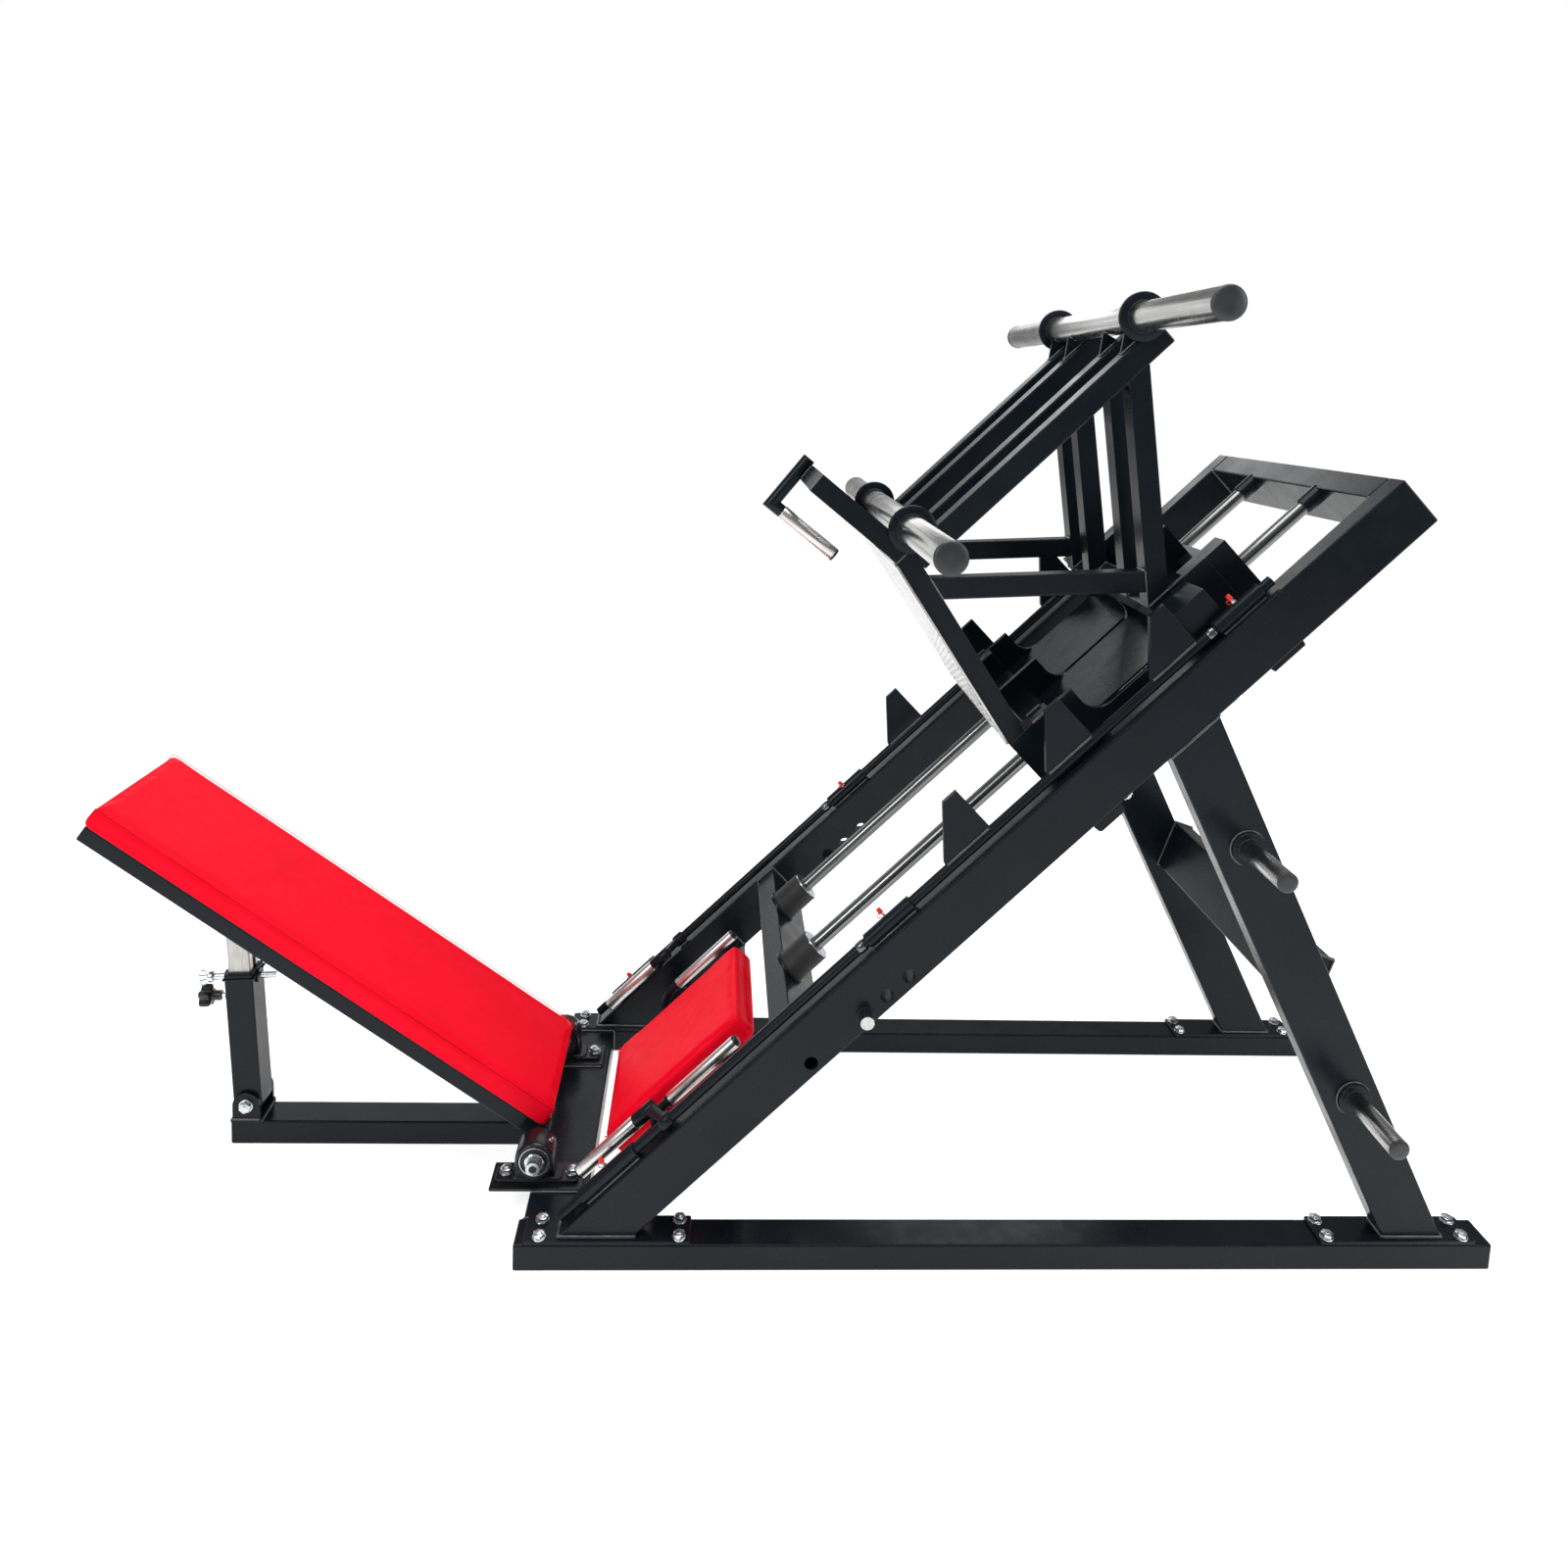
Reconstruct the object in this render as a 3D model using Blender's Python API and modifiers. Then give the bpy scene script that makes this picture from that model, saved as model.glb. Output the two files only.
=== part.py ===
"""45 degree leg press. Metres, +Z up, +Y to the rear side of the machine, symmetric about Y = 0."""

import math

import bmesh
import bpy
from mathutils import Matrix, Vector

# driving dimensions
HALF_WIDTH = 0.345        # outer half width of the base
RAIL_W = 0.062            # base rail width
RAIL_H = 0.046            # base rail height
RAIL_X0 = -0.434
RAIL_X1 = 1.2113
PLATE_T = 0.0057          # foot plate thickness
GAP = 0.0003              # running clearance between neighbours
INCLINE_X = -0.147        # foot of the 45 degree line
BEAM_IN = 0.292           # inner and outer faces of the inclined beams
BEAM_OUT = 0.334
BEAM_N0 = 0.1023          # lower and upper faces, measured square to the slope
BEAM_N1 = 0.1899
BEAM_TOP_S = 1.7013       # length along the slope
ROD_Y = 0.1215
ROD_N = 0.1755
ROD_R = 0.0125
SHAFT_Y = 0.313
SHAFT_N = 0.2035
SHAFT_R = 0.0085
PIVOT = (-0.421, 0.0934)  # backrest axle, X and Z
REST_LOW = (-0.3885, 0.143)
REST_ANGLE = math.radians(35.0)
REST_LEN = 0.9642
REST_HALF = 0.150
PAD_T = 0.042
PROP_BASE = (-0.978, 0.0787)
PROP_TOP = (-0.998, 0.452)
HORN_R = 0.024
HORN_HALF = 0.545
BAR_N0 = 0.5715
BAR_N1 = 0.6115
UPPER_HORN = (1.590, 0.6380)
LOWER_HORN = (1.090, 0.6358)
OUT0, OUT1 = 0.186, 0.224  # outer carriage tubes, faces across the machine
IN0, IN1 = 0.081, 0.119    # inner carriage tubes
FRAME_T = 0.034            # depth of the footplate frame tube

K = math.sqrt(0.5)
BLACK = (0.012, 0.016, 0.022, 1.0)
STEEL = (0.62, 0.62, 0.60, 1.0)
RED = (0.80, 0.01, 0.03, 1.0)
RUBBER = (0.02, 0.02, 0.02, 1.0)


def clear_scene():
    for obj in list(bpy.data.objects):
        bpy.data.objects.remove(obj, do_unlink=True)


def collection(name):
    made = bpy.data.collections.new(name)
    bpy.context.scene.collection.children.link(made)
    return made


clear_scene()
PARTS = collection("leg_press")
TOOLS = collection("cutters")


# ---------------------------------------------------------------- helpers
def inc(s, n):
    """Point of the slope frame: s up the slope, n square to it."""
    return INCLINE_X + (s - n) * K, (s + n) * K


def incs(points):
    return [inc(s, n) for s, n in points]


def rest(t, v):
    """Point of the backrest frame: t up the backrest, v out of the pad top."""
    c, s = math.cos(REST_ANGLE), math.sin(REST_ANGLE)
    return REST_LOW[0] - c * t + s * v, REST_LOW[1] + s * t + c * v


def prop(a, b):
    """Point of the prop frame: a along the prop, b square to it."""
    dx, dz = PROP_TOP[0] - PROP_BASE[0], PROP_TOP[1] - PROP_BASE[1]
    length = math.hypot(dx, dz)
    ex, ez = dx / length, dz / length
    return PROP_BASE[0] + ex * a + ez * b, PROP_BASE[1] + ez * a - ex * b


def arc(cx, cz, r, a0, a1, steps):
    out = []
    for i in range(steps + 1):
        a = math.radians(a0 + (a1 - a0) * i / steps)
        out.append((cx + r * math.cos(a), cz + r * math.sin(a)))
    return out


def add_prism(bm, points, y0, y1):
    """Outline in X and Z, drawn out along Y."""
    verts = [bm.verts.new((x, y0, z)) for x, z in points]
    face = bm.faces.new(verts)
    made = bmesh.ops.extrude_face_region(bm, geom=[face])["geom"]
    moved = [g for g in made if isinstance(g, bmesh.types.BMVert)]
    bmesh.ops.translate(bm, verts=moved, vec=(0.0, y1 - y0, 0.0))


def add_box(bm, lo, hi):
    size = [hi[i] - lo[i] for i in range(3)]
    mid = [(hi[i] + lo[i]) / 2 for i in range(3)]
    move = Matrix.Translation(mid) @ Matrix.Diagonal((*size, 1.0))
    bmesh.ops.create_cube(bm, size=1.0, matrix=move)


def add_cyl(bm, p0, p1, r, seg=32):
    p0, p1 = Vector(p0), Vector(p1)
    axis = p1 - p0
    turn = axis.to_track_quat("Z", "Y").to_matrix().to_4x4()
    move = Matrix.Translation((p0 + p1) / 2) @ turn
    bmesh.ops.create_cone(bm, cap_ends=True, segments=seg, radius1=r, radius2=r,
                          depth=axis.length, matrix=move)


def add_pipe(bm, points, r, seg=20):
    """Round bar along a polyline, mitred at its corners."""
    pts = [Vector(p) for p in points]
    rings = []
    side = None
    for i, p in enumerate(pts):
        back = (p - pts[i - 1]).normalized() if i else (pts[1] - p).normalized()
        ahead = (pts[i + 1] - p).normalized() if i + 1 < len(pts) else back
        cut = (back + ahead).normalized()
        if side is None:
            side = back.orthogonal().normalized()
        side = (side - back * side.dot(back)).normalized()
        up = back.cross(side)
        ring = []
        for k in range(seg):
            a = 2 * math.pi * k / seg
            q = side * math.cos(a) * r + up * math.sin(a) * r
            q = q - back * (q.dot(cut) / back.dot(cut))
            ring.append(bm.verts.new(p + q))
        rings.append(ring)
        side = (side - ahead * side.dot(ahead)).normalized()
    for r0, r1 in zip(rings, rings[1:]):
        for k in range(seg):
            j = (k + 1) % seg
            bm.faces.new((r0[k], r0[j], r1[j], r1[k]))
    bm.faces.new(list(reversed(rings[0])))
    bm.faces.new(rings[-1])


def paint(obj, name, colour, metal):
    mat = bpy.data.materials.new(name)
    mat.use_nodes = True
    shader = mat.node_tree.nodes["Principled BSDF"]
    shader.inputs["Base Color"].default_value = colour
    shader.inputs["Metallic"].default_value = metal
    shader.inputs["Roughness"].default_value = 0.35
    obj.data.materials.append(mat)


def make(name, bm, colour=BLACK, metal=0.0, smooth=False, where=None):
    bmesh.ops.recalc_face_normals(bm, faces=bm.faces)
    mesh = bpy.data.meshes.new(name)
    bm.to_mesh(mesh)
    bm.free()
    obj = bpy.data.objects.new(name, mesh)
    (where or PARTS).objects.link(obj)
    if smooth:
        for poly in mesh.polygons:
            poly.use_smooth = len(poly.vertices) == 4
    if where is None:
        paint(obj, name, colour, metal)
    return obj


def bevel(obj, width, segments=2):
    mod = obj.modifiers.new("edge", "BEVEL")
    mod.width = width
    mod.segments = segments
    mod.limit_method = "ANGLE"
    mod.angle_limit = math.radians(40.0)


def boolean(obj, kind, name, bm):
    tool = make(name, bm, where=TOOLS)
    tool.hide_render = True
    tool.display_type = "WIRE"
    mod = obj.modifiers.new(name, "BOOLEAN")
    mod.operation = kind
    mod.object = tool
    mod.solver = "EXACT"
    return tool


def origin_at(obj, point):
    obj.data.transform(Matrix.Translation(-Vector(point)))
    obj.location = point


def spans(side, a, b):
    """Y range between |y| = a and b on one side."""
    return (a, b) if side > 0 else (-b, -a)


SIDES = (("near", -1), ("far", 1))


# ---------------------------------------------------------------- fixed frame
def base_rail(tag, side):
    y0, y1 = spans(side, HALF_WIDTH - RAIL_W, HALF_WIDTH)
    bm = bmesh.new()
    add_box(bm, (RAIL_X0, y0, 0.0), (RAIL_X1, y1, RAIL_H))
    bevel(make(f"base_rail_{tag}", bm), 0.003)


def front_cross_beam():
    bm = bmesh.new()
    y = HALF_WIDTH - RAIL_W - GAP
    add_box(bm, (-0.426, -y, 0.0), (-0.326, y, RAIL_H))
    bevel(make("front_cross_beam", bm), 0.003)


def centre_base_tube():
    bm = bmesh.new()
    add_box(bm, (-1.008, -0.031, 0.0), (-0.4263, 0.031, RAIL_H))
    bevel(make("centre_base_tube", bm), 0.003)


def foot_plate(place, tag, side, x0, x1, bolts):
    y0, y1 = spans(side, HALF_WIDTH - RAIL_W, HALF_WIDTH)
    z0 = RAIL_H + GAP
    bm = bmesh.new()
    add_box(bm, (x0, y0, z0), (x1, y1, z0 + PLATE_T))
    obj = make(f"foot_plate_{place}_{tag}", bm)
    washers = bmesh.new()
    heads = bmesh.new()
    for x in bolts:
        for y in (0.2951, 0.3338):
            top = z0 + PLATE_T
            add_cyl(washers, (x, side * y, top - 0.0010), (x, side * y, top + 0.0022), 0.0108, 20)
            add_cyl(heads, (x, side * y, top + 0.0012), (x, side * y, top + 0.0090), 0.0102, 6)
    boolean(obj, "UNION", f"washers_{place}_{tag}", washers)
    boolean(obj, "UNION", f"heads_{place}_{tag}", heads)


def incline_beam(tag, side):
    y0, y1 = spans(side, BEAM_IN, BEAM_OUT)
    ground = (RAIL_H + GAP + PLATE_T + GAP) / K
    outline = [(ground - BEAM_N0, BEAM_N0), (BEAM_TOP_S, BEAM_N0), (BEAM_TOP_S, BEAM_N1),
               (ground - BEAM_N1, BEAM_N1)]
    bm = bmesh.new()
    add_prism(bm, incs(outline), y0, y1)
    obj = make(f"incline_beam_{tag}", bm)
    bevel(obj, 0.003)
    sleeves = bmesh.new()
    lands = bmesh.new()
    holes = bmesh.new()
    ys = side * SHAFT_Y
    for s0, s1 in ((-0.05, 0.07), (0.586, 0.682), (1.336, 1.428)):
        xa, za = inc(s0, SHAFT_N)
        xb, zb = inc(s1, SHAFT_N)
        add_cyl(sleeves, (xa, ys, za), (xb, ys, zb), 0.0125, 24)
        strip = [(s0 + 0.002, 0.1880), (s1 - 0.002, 0.1880), (s1 - 0.002, 0.1930), (s0 + 0.002, 0.1930)]
        add_prism(lands, incs(strip), ys - 0.006, ys + 0.006)
        xa, za = inc(s0 - 0.01, SHAFT_N)
        xb, zb = inc(s1 + 0.01, SHAFT_N)
        add_cyl(holes, (xa, ys, za), (xb, ys, zb), SHAFT_R + GAP, 24)
    for s0, s1, depth in ((0.980, 1.0375, 0.086), (1.356, 1.422, 0.093)):
        mid = (s0 + s1) / 2
        lobe = [(s0, 0.104), (s0, 0.098)] + arc(mid, 0.098, (s1 - s0) / 2, 180, 360, 10) + [(s1, 0.104)]
        lobe = [(s, max(n, depth)) for s, n in lobe]
        keep = []
        for p in lobe:
            if not keep or math.dist(keep[-1], p) > 1e-5:
                keep.append(p)
        ya, yb = spans(side, 0.318, 0.330)
        add_prism(lands, incs(keep), ya, yb)
    for s in (0.385, 0.504, 0.551, 0.599):
        x, z = inc(s, 0.122)
        add_cyl(holes, (x, side * 0.28, z), (x, side * 0.345, z), 0.0115, 24)
    boolean(obj, "UNION", f"sleeves_{tag}", sleeves)
    boolean(obj, "UNION", f"lands_{tag}", lands)
    boolean(obj, "DIFFERENCE", f"beam_holes_{tag}", holes)


def slope_cross(name, s0, s1):
    y = BEAM_IN - GAP
    bm = bmesh.new()
    add_prism(bm, incs([(s0, BEAM_N0), (s1, BEAM_N0), (s1, BEAM_N1), (s0, BEAM_N1)]), -y, y)
    obj = make(name, bm)
    bevel(obj, 0.003)
    return obj


def top_cross_beam():
    obj = slope_cross("top_cross_beam", 1.6563, BEAM_TOP_S)
    collars = bmesh.new()
    bores = bmesh.new()
    for y in (-ROD_Y, ROD_Y):
        xa, za = inc(1.620, ROD_N)
        xb, zb = inc(1.662, ROD_N)
        add_cyl(collars, (xa, y, za), (xb, y, zb), 0.0160, 28)
        xa, za = inc(1.610, ROD_N)
        xb, zb = inc(1.6563, ROD_N)
        add_cyl(bores, (xa, y, za), (xb, y, zb), ROD_R + GAP, 28)
    boolean(obj, "UNION", "rod_collars", collars)
    boolean(obj, "DIFFERENCE", "rod_collar_bores", bores)


def guide_rod(tag, side):
    bm = bmesh.new()
    xa, za = inc(0.4023, ROD_N)
    xb, zb = inc(1.6560, ROD_N)
    add_cyl(bm, (xa, side * ROD_Y, za), (xb, side * ROD_Y, zb), ROD_R, 32)
    make(f"guide_rod_{tag}", bm, STEEL, 1.0, smooth=True)


def lower_bumper(tag, side):
    bm = bmesh.new()
    xa, za = inc(0.4023, ROD_N)
    xb, zb = inc(0.468, ROD_N)
    y = side * ROD_Y
    add_cyl(bm, (xa, y, za), (xb, y, zb), 0.029, 36)
    obj = make(f"lower_bumper_{tag}", bm, RUBBER)
    bevel(obj, 0.002)
    bore = bmesh.new()
    xa, za = inc(0.39, ROD_N)
    xb, zb = inc(0.48, ROD_N)
    add_cyl(bore, (xa, y, za), (xb, y, zb), ROD_R + GAP, 32)
    boolean(obj, "DIFFERENCE", f"bumper_bore_{tag}", bore)


def rear_leg(tag, side):
    y0, y1 = spans(side, BEAM_IN, BEAM_OUT)
    foot = RAIL_H + GAP + PLATE_T + GAP
    outline = [(1.024, foot), (0.5907, 0.8819), (0.6620, 0.9533), (1.128, foot)]
    bm = bmesh.new()
    add_prism(bm, outline, y0, y1)
    bevel(make(f"rear_leg_{tag}", bm), 0.003)


def rear_cross_brace():
    front, top = (0.8446, 0.4428), (0.8767, 0.5386)
    ux, uz = top[0] - front[0], top[1] - front[1]
    length = math.hypot(ux, uz)
    qx, qz = uz / length * 0.040, -ux / length * 0.040
    outline = [front, top, (top[0] + qx, top[1] + qz), (front[0] + qx, front[1] + qz)]
    y = BEAM_IN - GAP
    bm = bmesh.new()
    add_prism(bm, outline, -y, y)
    bevel(make("rear_cross_brace", bm), 0.003)


def storage_peg(place, tag, side, x, z):
    bm = bmesh.new()
    add_cyl(bm, (x, side * (BEAM_OUT + GAP), z), (x, side * 0.470, z), 0.016, 28)
    obj = make(f"storage_peg_{place}_{tag}", bm, STEEL, 1.0, smooth=True)
    collar = bmesh.new()
    add_cyl(collar, (x, side * (BEAM_OUT + GAP), z), (x, side * 0.3423, z), 0.028, 32)
    boolean(obj, "UNION", f"peg_collar_{place}_{tag}", collar)


# ---------------------------------------------------------------- seat and grips
def seat_frame():
    y = BEAM_IN - GAP
    bm = bmesh.new()
    add_prism(bm, incs([(0.03, 0.103), (0.08, 0.103), (0.08, 0.129), (0.03, 0.129)]), -y, y)
    obj = make("seat_frame", bm)
    bevel(obj, 0.003)
    second = bmesh.new()
    add_prism(second, incs([(0.20, 0.103), (0.24, 0.103), (0.24, 0.129), (0.20, 0.129)]), -y, y)
    spine = bmesh.new()
    add_prism(spine, incs([(0.06, 0.110), (0.22, 0.110), (0.22, 0.127), (0.06, 0.127)]), -0.05, 0.05)
    boolean(obj, "UNION", "seat_spine", spine)
    boolean(obj, "UNION", "seat_second_tube", second)


def seat_pad():
    bm = bmesh.new()
    add_prism(bm, incs([(-0.055, 0.1300), (0.285, 0.1300), (0.285, 0.180), (-0.055, 0.180)]), -0.145, 0.145)
    bevel(make("seat_pad", bm, RED), 0.008, 3)


def seat_grip(tag, side):
    y = side * 0.195
    path = [(0.058, 0.1293), (0.058, 0.148), (0.068, 0.163), (0.090, 0.1735), (0.110, 0.174),
            (0.274, 0.174)]
    bm = bmesh.new()
    add_pipe(bm, [(inc(s, n)[0], y, inc(s, n)[1]) for s, n in path], 0.010, 20)
    make(f"seat_grip_{tag}", bm, STEEL, 1.0, smooth=True)


# ---------------------------------------------------------------- safety locks
def lock_shaft(tag, side):
    y = side * SHAFT_Y
    bm = bmesh.new()
    xa, za = inc(-0.10, SHAFT_N)
    xb, zb = inc(1.45, SHAFT_N)
    add_cyl(bm, (xa, y, za), (xb, y, zb), SHAFT_R, 24)
    obj = make(f"lock_shaft_{tag}", bm, BLACK, smooth=True)
    fins = bmesh.new()
    ya, yb = spans(side, 0.308, 0.318)
    for top in (0.858, 1.077, 1.298):
        s0 = top - 0.094
        outline = [(s0, SHAFT_N + 0.001), (top, SHAFT_N + 0.001), (top, 0.294), (s0 + 0.065, 0.294),
                   (s0, 0.217)]
        add_prism(fins, incs(outline), ya, yb)
    boolean(obj, "UNION", f"fins_{tag}", fins)
    origin_at(obj, (xa, y, za))


def lock_handle(tag, side):
    y = side * SHAFT_Y
    yg = side * 0.264
    ng = 0.216
    bm = bmesh.new()
    xa, za = inc(-0.053, ng)
    xb, zb = inc(0.1205, ng)
    add_cyl(bm, (xa, yg, za), (xb, yg, zb), 0.012, 24)
    obj = make(f"lock_handle_{tag}", bm, STEEL, 1.0, smooth=True)
    arms = bmesh.new()
    bores = bmesh.new()
    collars = bmesh.new()
    x0, z0 = inc(0.1110, ng)
    x1, z1 = inc(0.1400, SHAFT_N)
    add_cyl(arms, (x0, yg, z0), (x1, y, z1), 0.007, 16)
    xa, za = inc(0.1290, SHAFT_N)
    xb, zb = inc(0.1510, SHAFT_N)
    add_cyl(collars, (xa, y, za), (xb, y, zb), 0.0125, 24)
    xa, za = inc(0.1200, SHAFT_N)
    xb, zb = inc(0.1600, SHAFT_N)
    add_cyl(bores, (xa, y, za), (xb, y, zb), SHAFT_R + GAP, 24)
    boolean(obj, "UNION", f"handle_arms_{tag}", arms)
    boolean(obj, "UNION", f"handle_collars_{tag}", collars)
    boolean(obj, "DIFFERENCE", f"handle_bores_{tag}", bores)
    xa, za = inc(-0.10, SHAFT_N)
    origin_at(obj, (xa, y, za))


def stop_pin(tag, side):
    x, z = inc(0.504, 0.122)
    bm = bmesh.new()
    add_cyl(bm, (x, side * 0.270, z), (x, side * 0.359, z), 0.0112, 24)
    obj = make(f"stop_pin_{tag}", bm, STEEL, 1.0, smooth=True)
    origin_at(obj, (x, side * BEAM_OUT, z))


# ---------------------------------------------------------------- backrest and prop
def pillow_block(tag, side):
    x, z = PIVOT
    ya, yb = spans(side, 0.150, 0.220)
    yc, yd = spans(side, 0.158, 0.212)
    base = RAIL_H + GAP
    bm = bmesh.new()
    add_box(bm, (x - 0.076, ya, base), (x + 0.083, yb, base + 0.0117))
    obj = make(f"pillow_block_{tag}", bm)
    bevel(obj, 0.0015, 1)
    body = bmesh.new()
    add_cyl(body, (x, yc, z), (x, yd, z), 0.034, 36)
    web = bmesh.new()
    add_prism(web, [(x - 0.040, base + 0.0100), (x + 0.040, base + 0.0100), (x + 0.030, z), (x - 0.030, z)],
              yc + 0.006, yd - 0.006)
    bolts = bmesh.new()
    for bx in (x - 0.051, x + 0.064):
        ym = side * 0.185
        add_cyl(bolts, (bx, ym, base + 0.0107), (bx, ym, base + 0.0215), 0.0110, 6)
    nut = bmesh.new()
    add_cyl(nut, (x - 0.051, side * 0.185, base - 0.012), (x - 0.051, side * 0.185, base + 0.001),
            0.0105, 6)
    bore = bmesh.new()
    add_cyl(bore, (x, ya - 0.01, z), (x, yb + 0.01, z), 0.0123, 32)
    boolean(obj, "UNION", f"block_web_{tag}", web)
    boolean(obj, "UNION", f"block_body_{tag}", body)
    boolean(obj, "UNION", f"block_bolts_{tag}", bolts)
    boolean(obj, "UNION", f"block_nut_{tag}", nut)
    boolean(obj, "DIFFERENCE", f"block_bore_{tag}", bore)


def backrest_axle():
    x, z = PIVOT
    bm = bmesh.new()
    add_cyl(bm, (x, -0.228, z), (x, 0.228, z), 0.012, 32)
    obj = make("backrest_axle", bm, STEEL, 1.0, smooth=True)
    origin_at(obj, (x, 0.0, z))


def backrest_frame():
    v0, v1 = -0.0727, -PAD_T - GAP
    bm = bmesh.new()
    add_prism(bm, [rest(0.035, v0), rest(0.955, v0), rest(0.955, v1), rest(0.035, v1)], -0.136, 0.136)
    obj = make("backrest_frame", bm)
    bevel(obj, 0.003)
    windows = bmesh.new()
    for t0, t1 in ((0.080, 0.625), (0.730, 0.910)):
        add_prism(windows, [rest(t0, -0.09), rest(t1, -0.09), rest(t1, -0.03), rest(t0, -0.03)],
                  -0.098, 0.098)
    boolean(obj, "DIFFERENCE", "rest_windows", windows)
    lugs = bmesh.new()
    for ya, yb in ((0.100, 0.132), (-0.132, -0.100)):
        centre = rest(0.0, 0.0)
        tx = (PIVOT[0] - centre[0], PIVOT[1] - centre[1])
        c, s = math.cos(REST_ANGLE), math.sin(REST_ANGLE)
        t_p = -c * tx[0] + s * tx[1]
        v_p = s * tx[0] + c * tx[1]
        ring = arc(t_p, v_p, 0.0155, 90, 270, 14)
        outline = ring + [(0.040, v_p - 0.0125), (0.040, v_p + 0.0155)]
        add_prism(lugs, [rest(t, v) for t, v in outline], ya, yb)
    cheeks = bmesh.new()
    for ya, yb in ((0.0235, 0.0295), (-0.0295, -0.0235)):
        outline = [(0.650, -0.0700), (0.650, -0.0950)] + [
            (t, v) for t, v in arc(0.6765, -0.0965, 0.018, 200, 340, 8)] + [(0.703, -0.0950), (0.703, -0.0700)]
        add_prism(cheeks, [rest(t, v) for t, v in outline], ya, yb)
    bore = bmesh.new()
    add_cyl(bore, (PIVOT[0], -0.16, PIVOT[1]), (PIVOT[0], 0.16, PIVOT[1]), 0.0123, 32)
    boolean(obj, "UNION", "rest_lugs", lugs)
    boolean(obj, "UNION", "rest_cheeks", cheeks)
    boolean(obj, "DIFFERENCE", "rest_bore", bore)
    origin_at(obj, (PIVOT[0], 0.0, PIVOT[1]))


def backrest_pad():
    bm = bmesh.new()
    add_prism(bm, [rest(0.0, -PAD_T), rest(REST_LEN, -PAD_T), rest(REST_LEN, 0.0), rest(0.0, 0.0)],
              -REST_HALF, REST_HALF)
    obj = make("backrest_pad", bm, RED)
    bevel(obj, 0.008, 3)
    origin_at(obj, (PIVOT[0], 0.0, PIVOT[1]))


def prop_clevis():
    x, z = PROP_BASE
    base = RAIL_H + GAP
    bm = bmesh.new()
    add_box(bm, (x - 0.028, -0.0350, base), (x + 0.028, 0.0350, base + 0.006))
    obj = make("prop_clevis", bm)
    for n, (ya, yb) in enumerate(((0.0285, 0.0345), (-0.0345, -0.0285))):
        cheek = bmesh.new()
        outline = [(x - 0.025, base + 0.003), (x + 0.025, base + 0.003)] + arc(x, z, 0.025, 0, 180, 14)
        add_prism(cheek, outline, ya, yb)
        boolean(obj, "UNION", f"clevis_cheek_{n}", cheek)
    pin = bmesh.new()
    add_cyl(pin, (x, -0.0335, z), (x, 0.0335, z), 0.006, 24)
    heads = bmesh.new()
    add_cyl(heads, (x, -0.0425, z), (x, -0.0340, z), 0.0102, 6)
    add_cyl(heads, (x, 0.0340, z), (x, 0.0425, z), 0.0102, 6)
    boolean(obj, "UNION", "clevis_pin", pin)
    boolean(obj, "UNION", "clevis_heads", heads)


def prop_sleeve():
    bm = bmesh.new()
    foot = [prop(-0.0255 * math.sin(math.pi * k / 16), 0.0255 * math.cos(math.pi * k / 16)) for k in range(17)]
    add_prism(bm, foot + [prop(0.2545, -0.0255), prop(0.2545, 0.0255)], -0.028, 0.028)
    obj = make("prop_sleeve", bm)
    bevel(obj, 0.003)
    cuts = bmesh.new()
    add_prism(cuts, [prop(0.045, -0.0203), prop(0.30, -0.0203), prop(0.30, 0.0203), prop(0.045, 0.0203)],
              -0.0203, 0.0203)
    eye = bmesh.new()
    add_cyl(eye, (PROP_BASE[0], -0.05, PROP_BASE[1]), (PROP_BASE[0], 0.05, PROP_BASE[1]), 0.0063, 24)
    (xa, za), (xb, zb) = prop(0.2387, -0.07), prop(0.2387, 0.07)
    cross = bmesh.new()
    add_cyl(cross, (xa, 0.0, za), (xb, 0.0, zb), 0.0063, 24)
    boolean(obj, "DIFFERENCE", "sleeve_hollow", cuts)
    boolean(obj, "DIFFERENCE", "sleeve_eye", eye)
    boolean(obj, "DIFFERENCE", "sleeve_cross_hole", cross)
    origin_at(obj, (PROP_BASE[0], 0.0, PROP_BASE[1]))


def prop_inner_tube():
    length = math.hypot(PROP_TOP[0] - PROP_BASE[0], PROP_TOP[1] - PROP_BASE[1])
    slope = math.tan(REST_ANGLE - math.asin((PROP_BASE[0] - PROP_TOP[0]) / length))
    top = length + 0.0235 / math.cos(REST_ANGLE) - 0.011
    bm = bmesh.new()
    add_prism(bm, [prop(0.108, -0.020), prop(top + 0.020 * slope, -0.020), prop(top - 0.020 * slope, 0.020),
                   prop(0.108, 0.020)], -0.020, 0.020)
    obj = make("prop_inner_tube", bm, STEEL, 1.0)
    bevel(obj, 0.002, 1)
    slot = bmesh.new()
    (xa, za), (xb, zb) = prop(0.2387, -0.05), prop(0.2387, 0.05)
    along = Vector((prop(1.0, 0.0)[0] - prop(0.0, 0.0)[0], 0.0, prop(1.0, 0.0)[1] - prop(0.0, 0.0)[1]))
    across = Vector((xb - xa, 0.0, zb - za)).normalized()
    middle = Vector(((xa + xb) / 2, 0.0, (za + zb) / 2))
    frame = Matrix((across, (0.0, 1.0, 0.0), along)).transposed().to_4x4()
    size = Matrix.Diagonal((0.10, 0.0132, 0.150, 1.0))
    bmesh.ops.create_cube(slot, size=1.0, matrix=Matrix.Translation(middle) @ frame @ size)
    boolean(obj, "DIFFERENCE", "prop_slot", slot)
    x, z = prop(0.2387, 0.0)
    origin_at(obj, (x, 0.0, z))


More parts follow.
